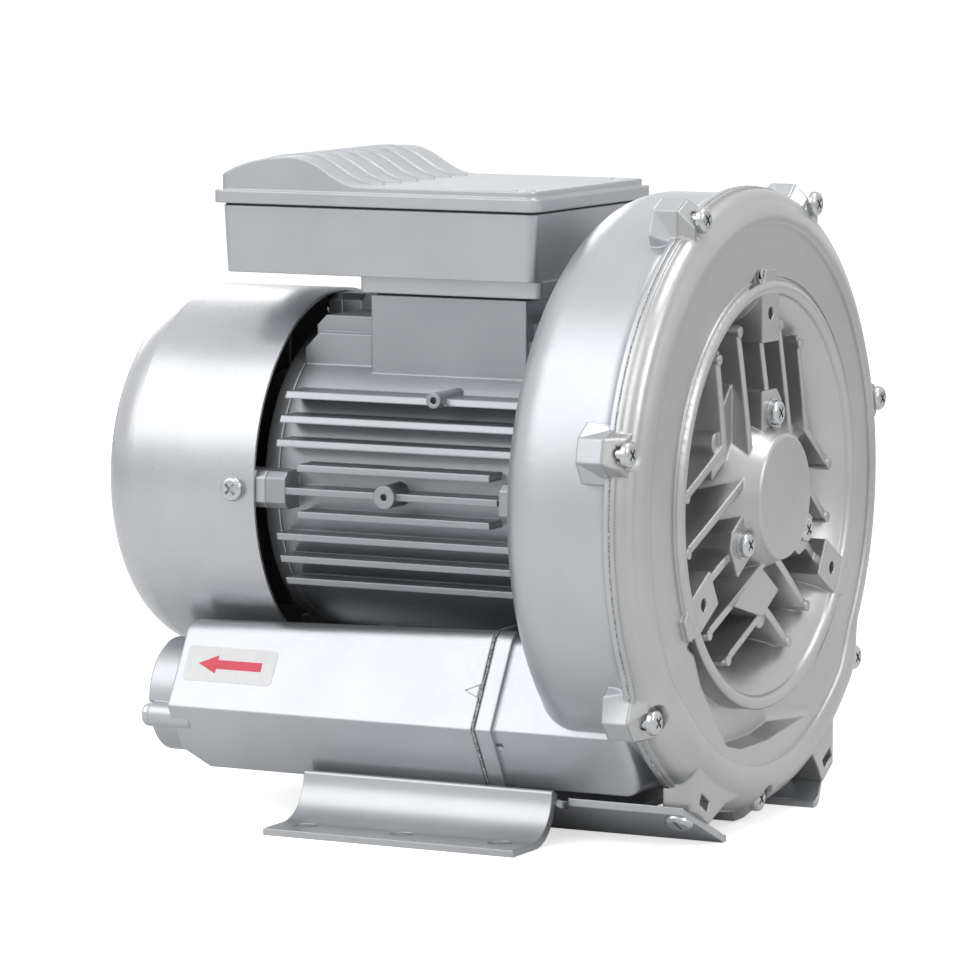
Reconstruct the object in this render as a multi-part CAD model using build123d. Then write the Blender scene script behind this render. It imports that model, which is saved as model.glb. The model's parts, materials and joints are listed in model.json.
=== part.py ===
from build123d import *
import math
import os

os.makedirs("parts", exist_ok=True)

# Driving dimensions, in millimetres. A "station" is a distance along the shaft from the joint face
# of casing and cover: minus is towards the cover, plus is towards the fan.

# ---- where the machine stands
AXIS_H = 123.2            # shaft axis above the floor
JOINT_Y = -93.4           # joint face, from the centre of the foot holes

# ---- casing and cover
JOINT_R = 118.0
CASING_R = 111.2
CASING_DEPTH = 48.5
CASING_CORNER = 19.5
CASING_WALL = 3.8
CASING_BACK_WALL = 4.0
COVE_DEPTH = 7.5
JOINT_SEAL_EDGE = 0.9
JOINT_SEAL_W = 1.8
JOINT_SEAL_T = 1.4
COVER_FACE = 11.6         # flat front face of the cover, ahead of the joint
COVER_CREST = 1.0         # the bulge stands this much ahead of the flat face
CREST_R = 100.2
COVER_WALL = 3.2
JOINT_LIP = 2.2
LIP_STEP = 1.1
RIM_R = 74.2
RIM_BEAD = 5.2
BEAD_RISE = 1.2
RIM_GROOVE = 1.6
DISH_FLOOR_R = 62.0
DISH_FLOOR = 7.5
DISH_WALL = 4.6
SCOOP_DEPTH = 8.2
SCOOP_ROUND = 9.0

# ---- impeller and its running gaps
TIP_GAP = 0.8
FACE_GAP = 0.8
IMPELLER_FRONT = 6.0
VANE_WIDTH = 24.0
VANE_LENGTH = 27.0
VANE_THICKNESS = 2.4
VANE_COUNT = 32
WEB_THICKNESS = 5.0
WEB_PEAK = 4.0
LAND_WIDTH = 13.0
HUB_R = 21.0
HUB_START = 14.0
HUB_LENGTH = 20.0
HUB_GAP = 2.4
KEY_SIZE = 5.0
KEY_LENGTH = 14.0

# ---- channel and ports
STRIPPER_HALF_ANGLE = 19.0
COVER_STRIPPER_HALF_ANGLE = 44.0
PORT_X = 50.0
PORT_Z = 41.0
PORT_BORE_R = 15.15       # minor radius of the pipe thread
PORT_THREAD_LENGTH = 20.0
PORT_COLLAR_R = 21.5
PORT_COLLAR_LENGTH = 13.0
STUB_END = 70.0
STUB_FLANGE = 6.5
STUB_INSET = 1.8
STUB_START = 9.5
STUB_NOSE = 6.0
SILENCER_HALF_WIDTH = 30.0
SILENCER_TOP = 33.8
SILENCER_DRAFT = 4.2
SILENCER_BOTTOM = 24.4
SILENCER_SLOPE = 60.0
SILENCER_SHOULDER = 7.0
SILENCER_END = 199.0
SILENCER_BORE_R = 17.5
SILENCER_END_WALL = 7.0
SILENCER_CHAMFER = 7.5
SILENCER_RELIEF_R = 75.0
FOAM_THICKNESS = 2.0
GASKET_T = 1.5
TUBE_SCREW_X = 22.3
TUBE_SCREW_Z = -5.0
TUBE_BOSS_LENGTH = 10.8

# ---- screws
SCREW_R = 2.5
SCREW_CLEARANCE = 0.3
THREAD_CLEARANCE = 0.05
HEAD_R = 4.7
HEAD_H = 3.0
HEAD_ROOM = 0.8
BOSS_WALL = 2.4
THREAD_DEPTH = 9.0
LUG_COUNT = 7
LUG_R = 116.2
BOTTOM_LUG_R = 113.8
LUG_WIDTH = 22.0
LUG_FLARE = 5.0
LUG_OUT_R = 122.3
LUG_FRONT_R = 113.0
LUG_FRONT = 9.6
LUG_BACK = 9.8
LUG_SEAT = 6.4
LUG_CHAMFER = 6.6

# ---- dish ribs and the bosses in the dish
SECTORS = 3
RIB_PITCH = 18.4
RIB_THICKNESS = 2.9
RIB_RISE_HUB = 12.4
RIB_RISE_RIM = 7.0
RIB_RUN_OUT = 4.5        # how far the ribs run up the dish wall
RIB_HUB_R = 26.0
RIB_PIN_R = 2.0
RIB_PIN_RISE = 8.2
JUNCTION_R = 4.2
JUNCTION_AT = 45.5
JUNCTION_RISE = 8.4
PAD_RISES = (5.2, 11.0, 5.2)
TAPPED_BOSS_R = 67.5
TAPPED_BOSS_WIDTH = 14.6
TAPPED_BOSS_IN = 10.5
TAPPED_BOSS_OUT = 16.5
TAPPED_BOSS_RISE = 12.0
TAPPED_HOLE_R = 2.5
TAPPED_DEPTH = 12.0
BEAD_POCKET_W = 16.0
BEAD_POCKET_DEPTH = 3.0
RETAINER_SCREW_R = 30.8
RETAINER_BOSS_WIDTH = 17.0
RETAINER_BOSS_RISE = 12.6
RETAINER_R = 37.0
RETAINER_T = 2.0
RETAINER_SINK = 0.6
WASHER_R = 5.2
WASHER_T = 0.8
HUB_TOP_R = 23.6
HUB_TOP = 18.6
HUB_WAIST_R = 27.5
HUB_FOOT_R = 33.5
HUB_ROUND = 1.8
HUB_BORE_R = 9.5
HUB_WALL = 4.0

# ---- bearings, both of one size
BEARING_OUT_R = 17.5
BEARING_BORE_R = 7.5
BEARING_WIDTH = 11.0
RACE_T = 2.9
BALL_R = 2.9
BALL_COUNT = 7
BALL_GAP = 0.05
REAR_BEARING = 162.5

# ---- shaft
SHAFT_BODY_R = 11.0
IMPELLER_SEAT_R = 9.0
SHAFT_FRONT = -7.0
FAN_SEAT_R = 6.0
SHAFT_END = 202.0
SHAFT_FIT = 0.02
CLIP_T = 1.2

# ---- shaft seal
SEAL_R = 17.5
SEAL_WIDTH = 6.0
SEAL_START = 38.5
SEAL_LIP_GAP = 0.05

# ---- motor
FLANGE_R = 62.0
FLANGE_H = 8.5
SPIGOT_L = 4.0
SPIGOT_T = 4.0
FRAME_BORE_R = 54.0
FRAME_WALL = 4.0
FRAME_END = 163.0
FIN_R = 68.5
FIN_T = 2.6
FIN_PITCH = 8.75
FIN_ROWS = 4
FIN_INSET = 3.5
SHORT_FIN_INSET = 13.0
LUG_SPAN = 14.0
MOTOR_LUG_R = 69.0
MOTOR_LUG_SCREW_R = 64.3
MOTOR_LUG_L = 8.5
CORE_START = 80.0
CORE_LENGTH = 62.0
ROTOR_R = 36.0
AIR_GAP = 0.6
WINDING_R = 51.0
WINDING_T = 12.0
WINDING_L = 12.0
SHIELD_T = 6.0
SHIELD_BOSS_R = 23.0
POST_R = 2.9
POST_END = 64.0
POST_STATION = 95.0
POST_Z = 36.0
MID_POST_R = 4.3
MID_POST_END = 71.0
MID_POST_STATION = 112.0
POST_HOLE_R = 1.3

# ---- pedestal and terminal box
PEDESTAL_HALF = 39.5
PEDESTAL_START = 69.0
PEDESTAL_END = 133.5
PEDESTAL_TOP = 195.0
SHOULDER_HALF = 37.0
SHOULDER_TOP = 179.8
SHOULDER_CUT = 6.0
UPPER_SHOULDER_HALF = 33.0
UPPER_SHOULDER_TOP = 186.2
UPPER_SHOULDER_SETBACK = 3.0
UPPER_SHOULDER_CUT = 4.0
NECK_HALF = 41.5
NECK_START = 62.5
NECK_END = 138.0
SEAT_GASKET_T = 1.0
BOX_HALF = 47.6
BOX_START = 61.8
BOX_END = 193.2
BOX_BOTTOM = 202.3
BOX_TOP = 227.4
BOX_WALL = 2.6
BOX_CORNER = 3.5
BOX_DRAFT = 1.0
LIP_OUT = 2.1
LIP_H = 4.8
LID_FLAT = 235.8
HUMP_TOP = 246.2
HUMP_FOOT = 133.0
HUMP_CREST = 163.5
HUMP_BACK = 238.3
BOX_SCREW_R = 2.0
LID_HEAD_R = 3.5
LID_SCREW_SINK = 2.2
RIDGE_COUNT = 6
RIDGE_W = 1.4
RIDGE_H = 0.7

# ---- fan and cowl
COWL_R = 70.5
COWL_T = 1.2
COWL_START = 167.0
COWL_SHOULDER = 219.7
COWL_END = 237.0
COWL_BACK_R = 50.0
COWL_SCREW = 175.5
SLOT_RINGS = 4
SLOTS_PER_RING = 4
SLOT_W = 4.4
SLOT_PITCH = 10.0
SLOT_BRIDGE = 9.0
FAN_R = 54.0
FAN_START = 181.0
FAN_HUB_R = 12.5
FAN_HUB_L = 17.0
FAN_DISC_T = 2.2
FAN_BLADE_W = 17.0
FAN_BLADES = 8

# ---- base plate
SHEET = 2.5
FOLD_X = 42.6
WEB_ANGLE = 30.0
WEB_TOP_X = 71.0
FLANGE_TIP_X = 104.3
FLANGE_FOOT_X = 87.0
PLATE_FRONT = -13.0
PLATE_WIDE_START = 42.0
PLATE_END = 144.8
ARM_TOP_X = 65.2
ARM_CORNER = -6.6
RELIEF_R = 3.0
FOOT_HOLE_X = 92.0
FOOT_HOLE_PITCH = 40.0
FOOT_HOLE_R = 4.5
FOOT_OUT_X = 61.6
FOOT_IN_X = 48.0
FOOT_BACK = 2.5
FOOT_SCREW_X = 60.0
FOOT_SCREW_STATION = -3.4
REAR_FOOT_STATION = 128.0
REAR_FOOT_LENGTH = 22.0
FOOT_HEAD_R = 5.4
FOOT_HEAD_H = 2.2
NUT_FLATS = 8.0
NUT_H = 4.0
NUT_RAISE = 5.1
NUT_ROOM = 0.2
FOOT_TOE = 4.0
FRONT_PLATE_TOP = 55.0
REAR_THREAD = 8.0

# ---- values worked out from the driving dimensions
CHAMBER_R = CASING_R - CASING_WALL
SEAL_GROOVE_R = CHAMBER_R + JOINT_SEAL_EDGE
VANE_TIP_R = CHAMBER_R - TIP_GAP
VANE_ROOT_R = VANE_TIP_R - VANE_LENGTH
CHANNEL_MID_R = (VANE_ROOT_R + CHAMBER_R) / 2
IMPELLER_BACK = IMPELLER_FRONT + VANE_WIDTH
LAND_FRONT = IMPELLER_FRONT - FACE_GAP
LAND_BACK = IMPELLER_BACK + FACE_GAP
LAND_IN_R = VANE_ROOT_R - LAND_WIDTH
HUB_END = HUB_START + HUB_LENGTH
WALL_FRONT = HUB_END + HUB_GAP
SEAL_END = SEAL_START + SEAL_WIDTH
FRAME_START = CASING_DEPTH + FLANGE_H
FRAME_R = FRAME_BORE_R + FRAME_WALL
CORE_END = CORE_START + CORE_LENGTH
COWL_IN_R = COWL_R - COWL_T
GASKET_END = STUB_END + GASKET_T
COLLAR_END = SILENCER_END + PORT_COLLAR_LENGTH
LID_BOTTOM = BOX_TOP + SEAT_GASKET_T
FIT = THREAD_CLEARANCE
CLEAR_R = SCREW_R + SCREW_CLEARANCE
TAP_R = SCREW_R + THREAD_CLEARANCE
LUG_ANGLES = [-90 + 360 / LUG_COUNT * i for i in range(LUG_COUNT)]
LUG_PLACES = [(BOTTOM_LUG_R if angle == -90 else LUG_R, angle) for angle in LUG_ANGLES]
SECTOR_ANGLES = [90 + 360 / SECTORS * i for i in range(SECTORS)]
MOTOR_LUG_ANGLES = [0, 90, 180, 270]
COWL_SCREW_ANGLES = [0, 180, 270]
COVER_BACK = DISH_FLOOR + DISH_WALL
RETAINER_BACK = COVER_BACK - RETAINER_SINK
RETAINER_FRONT = RETAINER_BACK - RETAINER_T
FRONT_BEARING = RETAINER_FRONT - BEARING_WIDTH

SHAFT_AXIS = Axis((0, JOINT_Y, AXIS_H), (0, 1, 0))
SIDE_PLANE = Plane(origin=(0, JOINT_Y, AXIS_H))


# ---------------------------------------------------------------- helpers
def station(s):
    """The plane across the shaft at station s: sketch x is X, sketch y is height above the axis."""
    return Plane(origin=(0, JOINT_Y + s, AXIS_H), x_dir=(1, 0, 0), z_dir=(0, -1, 0))


def outline(start, *steps):
    """A closed face. A step is a point, or a pair of points: an arc through the first to the second."""
    edges = []
    here = start
    for step in steps:
        if isinstance(step[0], tuple):
            edges.append(ThreePointArc(here, step[0], step[1]))
            here = step[1]
        else:
            edges.append(Line(here, step))
            here = step
    edges.append(Line(here, start))
    return make_face(edges)


def turned(start, *steps):
    """A solid turned about the shaft axis from (radius, station) points."""
    return revolve(SIDE_PLANE * outline(start, *steps), axis=SHAFT_AXIS)


def ring(inner, outer, s0, s1):
    """A plain ring about the shaft axis."""
    return prism(Circle(outer), s0, s1) - prism(Circle(inner), s0 - 1, s1 + 1)


def prism(sketch, s0, s1):
    """A sketch drawn across the shaft, run from station s0 to s1."""
    return extrude(station(s1) * sketch, amount=s1 - s0)


def around(shape, angle):
    """A shape modelled at 90 degrees (straight up), turned about the shaft to the given angle."""
    return shape.rotate(SHAFT_AXIS, 90 - angle)


def polygon(*points):
    return make_face(Polyline(*points, close=True))


def at_angle(radius, angle):
    """Sketch place across the shaft, by radius and angle."""
    turn = math.radians(angle)
    return Pos(radius * math.cos(turn), radius * math.sin(turn))


def group(shapes):
    """Separate solids that share one node."""
    return Compound(children=[solid for shape in shapes for solid in shape.solids()])


def pan_screw(radius, head_r, head_h, length):
    """A pan-head screw along +Z, with its seat at z = 0 and a cross recess in the head."""
    head = Pos(0, 0, head_h / 2) * Cylinder(head_r, head_h)
    head = fillet(head.edges().sort_by(Axis.Z)[-1:], head_h * 0.55)
    recess = Rot(0, 0, 45) * (Box(head_r * 1.1, head_r * 0.24, head_h) + Box(head_r * 0.24, head_r * 1.1, head_h))
    head -= Pos(0, 0, head_h) * recess
    return head + Pos(0, 0, -length / 2) * Cylinder(radius, length)


def shaft_screw(radius, head_r, head_h, length, place, s, facing):
    """A pan-head screw along the shaft direction; facing is -1 (head to the cover) or +1 (to the fan)."""
    screw = pan_screw(radius, head_r, head_h, length)
    aim = Plane(origin=(place[0], JOINT_Y + s, AXIS_H + place[1]), x_dir=(1, 0, 0), z_dir=(0, facing, 0))
    return aim * screw


def polar(radius, angle):
    turn = math.radians(angle)
    return (radius * math.cos(turn), radius * math.sin(turn))


# ---------------------------------------------------------------- casing
def port_section(side, top, inset=0.0):
    """Section of the silencer and of the casing's stub: flat top, sides at 60 degrees, flat bottom."""
    run = math.tan(math.radians(SILENCER_SLOPE))
    wide = SILENCER_HALF_WIDTH - inset
    high = top - inset
    low = SILENCER_BOTTOM - inset
    shape = polygon(
        (-wide, 0), (-wide + high / run, high), (wide - high / run, high),
        (wide, 0), (wide - low / run, -low), (-wide + low / run, -low))
    shoulders = shape.vertices().sort_by(Axis.Y)[-2:]
    shape = fillet(shoulders, SILENCER_SHOULDER)
    return Pos(side * PORT_X, PORT_Z - AXIS_H) * shape


def port_place(side, x=0.0, z=0.0):
    """Sketch place across the shaft, measured from the middle of a port."""
    return Pos(side * PORT_X + x, PORT_Z - AXIS_H + z)


def channel_face(edge_s, depth_s):
    """Half-round section of the side channel, between the vane roots and the chamber wall."""
    return outline((VANE_ROOT_R, edge_s), ((CHANNEL_MID_R, depth_s), (CHAMBER_R, edge_s)))


def bottom_wedge(half_angle):
    """The wedge of all space within an angle of straight down, seen from the shaft."""
    reach = JOINT_R * 2
    spread = reach * math.tan(math.radians(half_angle))
    return prism(polygon((0, 0), (-spread, -reach), (spread, -reach)), -JOINT_R, JOINT_R)


def channel(edge_s, depth_s, gap_half_angle):
    """The side channel, which runs round the chamber but for the gap at its lowest point."""
    whole = revolve(SIDE_PLANE * channel_face(edge_s, depth_s), axis=SHAFT_AXIS)
    return whole - bottom_wedge(gap_half_angle)


def lug_outline(width, tip, root):
    """Outline of a screw lug at the top of the casing, seen along the shaft."""
    half = width / 2
    shoulder = tip - LUG_CHAMFER
    return polygon(
        (-half, root), (-half, shoulder), (-half + LUG_CHAMFER, tip),
        (half - LUG_CHAMFER, tip), (half, shoulder), (half, root))


def port_stub(side):
    """One of the two stubs under the motor that the silencers bolt to."""
    flange = prism(port_section(side, SILENCER_TOP), STUB_END - STUB_FLANGE, STUB_END)
    body = prism(port_section(side, SILENCER_TOP, STUB_INSET), STUB_START, STUB_END - STUB_FLANGE)
    body = fillet(body.faces().sort_by(Axis.Y)[0].edges(), STUB_NOSE)
    return flange + body - prism(Circle(SILENCER_RELIEF_R), CASING_DEPTH, STUB_END + 1)


def blower_housing():
    """Casing half on the motor side, with the rear channel, the stubs and the motor flange."""
    corner = CASING_CORNER
    turn_r = CASING_R - corner + corner * math.sin(math.radians(45))
    turn_s = CASING_DEPTH - corner + corner * math.sin(math.radians(45))
    cove = (CASING_R + (JOINT_R - CASING_R) * 0.3, JOINT_LIP + (COVE_DEPTH - JOINT_LIP) * 0.3)
    body = turned(
        (JOINT_R, 0), (JOINT_R, JOINT_LIP), (cove, (CASING_R, COVE_DEPTH)), (CASING_R, CASING_DEPTH - corner),
        ((turn_r, turn_s), (CASING_R - corner, CASING_DEPTH)), (FLANGE_R, CASING_DEPTH), (FLANGE_R, FRAME_START),
        (FRAME_BORE_R - FIT, FRAME_START), (FRAME_BORE_R - FIT, FRAME_START + SPIGOT_L),
        (FRAME_BORE_R - SPIGOT_T, FRAME_START + SPIGOT_L), (FRAME_BORE_R - SPIGOT_T, SEAL_END), (0, SEAL_END), (0, 0))
    for side in (-1, 1):
        body += port_stub(side)
    for angle in LUG_ANGLES:
        body += around(prism(lug_outline(LUG_WIDTH, LUG_OUT_R, CHAMBER_R + 1), 0, LUG_BACK), angle)
    for angle in MOTOR_LUG_ANGLES:
        body += around(motor_lug(CASING_DEPTH, FRAME_START), angle)
    body -= turned(
        (0, -1), (CHAMBER_R, -1), (CHAMBER_R, LAND_BACK), (LAND_IN_R, LAND_BACK),
        (LAND_IN_R, WALL_FRONT), (0, WALL_FRONT))
    body -= prism(Circle(SHAFT_BODY_R + 1), WALL_FRONT - 1, SEAL_END + 1)
    body -= prism(Circle(SEAL_R), SEAL_START, SEAL_END + 1)
    body -= channel(LAND_BACK, CASING_DEPTH - CASING_BACK_WALL, STRIPPER_HALF_ANGLE)
    for side in (-1, 1):
        body -= prism(port_place(side) * Circle(PORT_BORE_R), LAND_BACK + PORT_BORE_R / 3, STUB_END + 1)
        for x in (-TUBE_SCREW_X, TUBE_SCREW_X):
            hole = port_place(side, x, TUBE_SCREW_Z) * Circle(TAP_R)
            body -= prism(hole, STUB_END - THREAD_DEPTH, STUB_END + 1)
    for radius, angle in LUG_PLACES:
        body -= prism(at_angle(radius, angle) * Circle(TAP_R), -1, THREAD_DEPTH)
    for angle in MOTOR_LUG_ANGLES:
        hole = at_angle(MOTOR_LUG_SCREW_R, angle) * Circle(TAP_R)
        body -= prism(hole, CASING_DEPTH, FRAME_START + 1)
    return body - ring(SEAL_GROOVE_R, SEAL_GROOVE_R + JOINT_SEAL_W, -1, JOINT_SEAL_T)


def joint_seal():
    """Flat ring that lies in its groove in the joint face."""
    return ring(SEAL_GROOVE_R + FIT, SEAL_GROOVE_R + JOINT_SEAL_W - FIT, 0, JOINT_SEAL_T)


# ---------------------------------------------------------------- cover
def cover_shell():
    """The cover's turned form: bulge, flat face, rim bead, dish and the domed bearing hub."""
    lip_r = JOINT_R - LIP_STEP
    bulge = COVER_FACE + COVER_CREST
    bulge_mid = (CREST_R + (lip_r - CREST_R) * 0.72, -(bulge * 0.86))
    bead_r = RIM_R + RIM_BEAD
    groove_mid = (bead_r + RIM_GROOVE / 2, -COVER_FACE + RIM_GROOVE / 2)
    wall_mid = ((RIM_R + DISH_FLOOR_R) / 2 - 1.5, -COVER_FACE / 4)
    waist = (HUB_WAIST_R, -COVER_FACE + 3)
    round_mid = (HUB_TOP_R - HUB_ROUND * 0.3, -HUB_TOP + HUB_ROUND * 0.3)
    return turned(
        (JOINT_R, 0), (JOINT_R, -JOINT_LIP), (lip_r, -JOINT_LIP), (lip_r, -2 * JOINT_LIP),
        (bulge_mid, (CREST_R, -bulge)), (CREST_R, -COVER_FACE), (bead_r + RIM_GROOVE, -COVER_FACE),
        (groove_mid, (bead_r, -COVER_FACE)),
        ((bead_r - RIM_BEAD / 2, -COVER_FACE - BEAD_RISE), (RIM_R, -COVER_FACE + BEAD_RISE)),
        (wall_mid, (DISH_FLOOR_R, DISH_FLOOR)), (HUB_FOOT_R, DISH_FLOOR),
        (waist, (HUB_TOP_R, -HUB_TOP + HUB_ROUND)), (round_mid, (HUB_TOP_R - HUB_ROUND, -HUB_TOP)),
        (0, -HUB_TOP), (0, COVER_BACK), (LAND_IN_R - 1, COVER_BACK), (LAND_IN_R - 1, LAND_FRONT),
        (VANE_ROOT_R, LAND_FRONT), (VANE_ROOT_R, 0))


def behind_cover():
    """The space behind the cover's wall, which nothing on its front may reach into."""
    far = JOINT_R + LUG_WIDTH
    return turned(
        (0, COVER_BACK), (LAND_IN_R - 1, COVER_BACK), (LAND_IN_R - 1, LAND_FRONT), (VANE_ROOT_R, LAND_FRONT),
        (VANE_ROOT_R, 0), (far, 0), (far, 2 * COVER_BACK), (0, 2 * COVER_BACK))


def sector_ribs():
    """The five parallel ribs of one third of the dish, with a round pin at the foot of each."""
    reach = DISH_FLOOR_R + RIB_RUN_OUT
    rows = [row * RIB_PITCH for row in range(-2, 3)]
    blanks = [Pos(x, reach / 2) * Rectangle(RIB_THICKNESS, reach) for x in rows]
    half = math.tan(math.radians(180 / SECTORS)) * reach
    third = polygon((0, 0), (-half, reach), (half, reach)) & Circle(reach)
    ribs = prism((Sketch() + blanks) & third, -RIB_RISE_HUB, DISH_FLOOR + 1)
    envelope = turned(
        (0, -RIB_RISE_HUB), (RIB_HUB_R, -RIB_RISE_HUB), (reach, -RIB_RISE_RIM), (reach, DISH_FLOOR + 1),
        (0, DISH_FLOOR + 1))
    ribs &= envelope
    for x in rows:
        foot = math.sqrt((reach - RIB_PIN_R) ** 2 - x ** 2)
        if x != 0:
            ribs += prism(Pos(x, foot) * Circle(RIB_PIN_R), -RIB_PIN_RISE, DISH_FLOOR + 1)
    return ribs


def rib_pad(rise):
    """The flat pad between the two left-hand ribs of a third."""
    inner, outer = RIB_PITCH, 2 * RIB_PITCH
    return prism(
        polygon((-inner, inner), (-outer, inner / 2), (-outer, 1.4 * inner), (-inner, 2.4 * inner)),
        -rise, DISH_FLOOR + 1)


def tapped_boss():
    """House-shaped boss over the dish rim, for the tapped hole."""
    half = TAPPED_BOSS_WIDTH / 2
    foot = TAPPED_BOSS_R - TAPPED_BOSS_IN
    eaves = TAPPED_BOSS_R + TAPPED_BOSS_WIDTH / 2
    top = TAPPED_BOSS_R + TAPPED_BOSS_OUT
    return prism(
        polygon((-half, foot), (half, foot), (half, eaves), (half * 0.6, top), (-half * 0.6, top), (-half, eaves)),
        -TAPPED_BOSS_RISE, DISH_FLOOR + 1)


def bead_pocket():
    """The three-cornered pocket beside a tapped boss, outside the rim bead."""
    side = -TAPPED_BOSS_WIDTH / 2
    top = TAPPED_BOSS_R + TAPPED_BOSS_OUT
    pocket = polygon((side, top), (side - BEAD_POCKET_W, RIM_R), (side, RIM_R)) - Circle(RIM_R + RIM_BEAD)
    return prism(pocket, -COVER_FACE - 1, -COVER_FACE + BEAD_POCKET_DEPTH)


def retainer_boss():
    """Boss beside the hub, for a screw of the bearing retainer."""
    half = RETAINER_BOSS_WIDTH / 2
    tip = RETAINER_SCREW_R + half
    return prism(
        polygon((-half, 0), (half, 0), (half, tip - half / 2), (half / 2, tip), (-half, tip)),
        -RETAINER_BOSS_RISE, DISH_FLOOR + 1)


def cover_lug():
    """Screw lug of the cover: it flares and sinks into the bulge ahead of the joint."""
    back = station(0) * lug_outline(LUG_WIDTH, LUG_OUT_R, CREST_R)
    front = station(-LUG_FRONT) * lug_outline(LUG_WIDTH + 2 * LUG_FLARE, LUG_FRONT_R, CREST_R)
    return loft([back, front])


def lug_pocket(radius):
    """Seat of a lug's screw head, open to the front and to the outside."""
    wide = HEAD_R + HEAD_ROOM
    pocket = Pos(0, radius) * Circle(wide) + Pos(0, radius + wide) * Rectangle(2 * wide, 2 * wide)
    return prism(pocket, -COVER_FACE - LUG_FRONT, -LUG_SEAT)


def web_height(x):
    """Height of the upper side of the base plate's slanted web, at distance x from the middle."""
    slope = math.radians(WEB_ANGLE)
    return (x - FOLD_X) * math.tan(slope) + SHEET / math.cos(slope)


def front_plate():
    """The flat front under the dish: two feet on the base plate, and the skirt between them."""
    toe = FOOT_IN_X + FOOT_TOE
    heights = polygon(
        (-FOOT_OUT_X, FRONT_PLATE_TOP), (-FOOT_OUT_X, web_height(FOOT_OUT_X)), (-toe, web_height(toe)),
        (-FOOT_IN_X, web_height(FOOT_IN_X) + FOOT_TOE), (-38, 13.6), (-12, 15.0), (5, 14.0), (25, 17.8),
        (34.5, 28.5), (FOOT_IN_X, web_height(FOOT_IN_X) + 2 * FOOT_TOE), (toe, web_height(toe)),
        (FOOT_OUT_X, web_height(FOOT_OUT_X)), (FOOT_OUT_X, FRONT_PLATE_TOP))
    plate = prism(Pos(0, -AXIS_H) * heights, -COVER_FACE, 0)
    return plate - prism(Circle(CREST_R - SCOOP_DEPTH), -COVER_FACE - 1, 1)


def foot_heel(side):
    """The part of a foot that reaches back under the casing."""
    toe = FOOT_IN_X + FOOT_TOE
    top = web_height(FOOT_OUT_X) + 2 * NUT_RAISE
    heel = polygon((side * FOOT_OUT_X, top), (side * FOOT_OUT_X, web_height(FOOT_OUT_X)),
                   (side * toe, web_height(toe)), (side * toe, top))
    return prism(Pos(0, -AXIS_H) * heel, -1, FOOT_BACK) - prism(Circle(JOINT_R + 0.4), 0, FOOT_BACK + 1)


def scoop():
    """Hollow in the front below the rim: steep on the left, a long slope on the right."""
    top = AXIS_H - 0.6 * RIM_R
    edge = polygon((-66, top), (-57.6, 59.7), (-37, 34.6), (-24, 31.6), (0, 31.6), (38, 36), (57, top))
    floor = polygon((-66, top), (-56, 59.7), (-36, 36.0), (-24, 33.0), (0, 33.0), (18, 36), (24, top))
    edge, floor = [Pos(0, -AXIS_H) * fillet(face.vertices().sort_by(Axis.Y)[:4], SCOOP_ROUND / 2)
                   for face in (edge, floor)]
    hollow = loft([station(-COVER_FACE) * edge, station(-COVER_FACE + SCOOP_DEPTH) * floor], ruled=True)
    hollow += prism(edge, -COVER_FACE - COVER_CREST - 1, -COVER_FACE)
    return hollow - prism(Circle(RIM_R + RIM_BEAD), -2 * COVER_FACE, 0)


def foot_axis(side, s):
    """Plane on the web's underside at a foot screw; its +Z runs up along the screw."""
    slope = math.radians(WEB_ANGLE)
    z = (FOOT_SCREW_X - FOLD_X) * math.tan(slope)
    return Plane(origin=(side * FOOT_SCREW_X, JOINT_Y + s, z), x_dir=(0, 1, 0),
                 z_dir=(-side * math.sin(slope), 0, math.cos(slope)))


def nut_slot(side):
    """Slot in the front of a foot that a hexagon nut slides into, and the screw's hole below it."""
    wide = NUT_FLATS + 2 * NUT_ROOM
    depth = COVER_FACE + FOOT_SCREW_STATION + NUT_FLATS / 2 + NUT_FLATS / 5
    slot = Pos(-depth + NUT_FLATS * 0.7, 0, SHEET + NUT_RAISE) * Box(2 * depth, wide, NUT_H + 2 * NUT_ROOM)
    hole = Pos(0, 0, SHEET + NUT_RAISE / 2) * Cylinder(TAP_R, NUT_RAISE + NUT_H + 2 * SHEET)
    return foot_axis(side, FOOT_SCREW_STATION) * (slot + hole)


def blower_cover():
    """Cover half, cast in one with the dish, its ribs and the feet."""
    body = cover_shell() + front_plate() - scoop()
    for angle, rise in zip(SECTOR_ANGLES, PAD_RISES):
        body -= around(bead_pocket(), angle)
        body += around(sector_ribs(), angle)
        body += around(rib_pad(rise), angle)
        body += around(tapped_boss(), angle)
        body += around(retainer_boss(), angle)
        junction = at_angle(JUNCTION_AT, angle + 180 / SECTORS) * Circle(JUNCTION_R)
        body += prism(junction, -JUNCTION_RISE, DISH_FLOOR + 1)
    for angle in LUG_ANGLES:
        body += around(cover_lug(), angle)
    body -= behind_cover()
    for side in (-1, 1):
        body += foot_heel(side)
        body -= nut_slot(side)
    body -= prism(Circle(HUB_BORE_R), -HUB_TOP + HUB_WALL, COVER_BACK)
    body -= prism(Circle(BEARING_OUT_R), FRONT_BEARING, COVER_BACK + 1)
    body -= prism(Circle(RETAINER_R + FIT), RETAINER_FRONT, COVER_BACK + 1)
    for angle in SECTOR_ANGLES:
        tapped = at_angle(TAPPED_BOSS_R, angle) * Circle(TAPPED_HOLE_R)
        body -= prism(tapped, -TAPPED_BOSS_RISE - 1, -TAPPED_BOSS_RISE + TAPPED_DEPTH)
        body -= prism(at_angle(RETAINER_SCREW_R, angle) * Circle(CLEAR_R), -HUB_TOP, COVER_BACK)
    for radius, angle in LUG_PLACES:
        body -= prism(at_angle(radius, angle) * Circle(CLEAR_R), -2 * COVER_FACE, 1)
        body -= around(lug_pocket(radius), angle)
    body -= channel(0, -COVER_FACE + COVER_WALL, COVER_STRIPPER_HALF_ANGLE)
    return body + cover_stripper()


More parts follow.
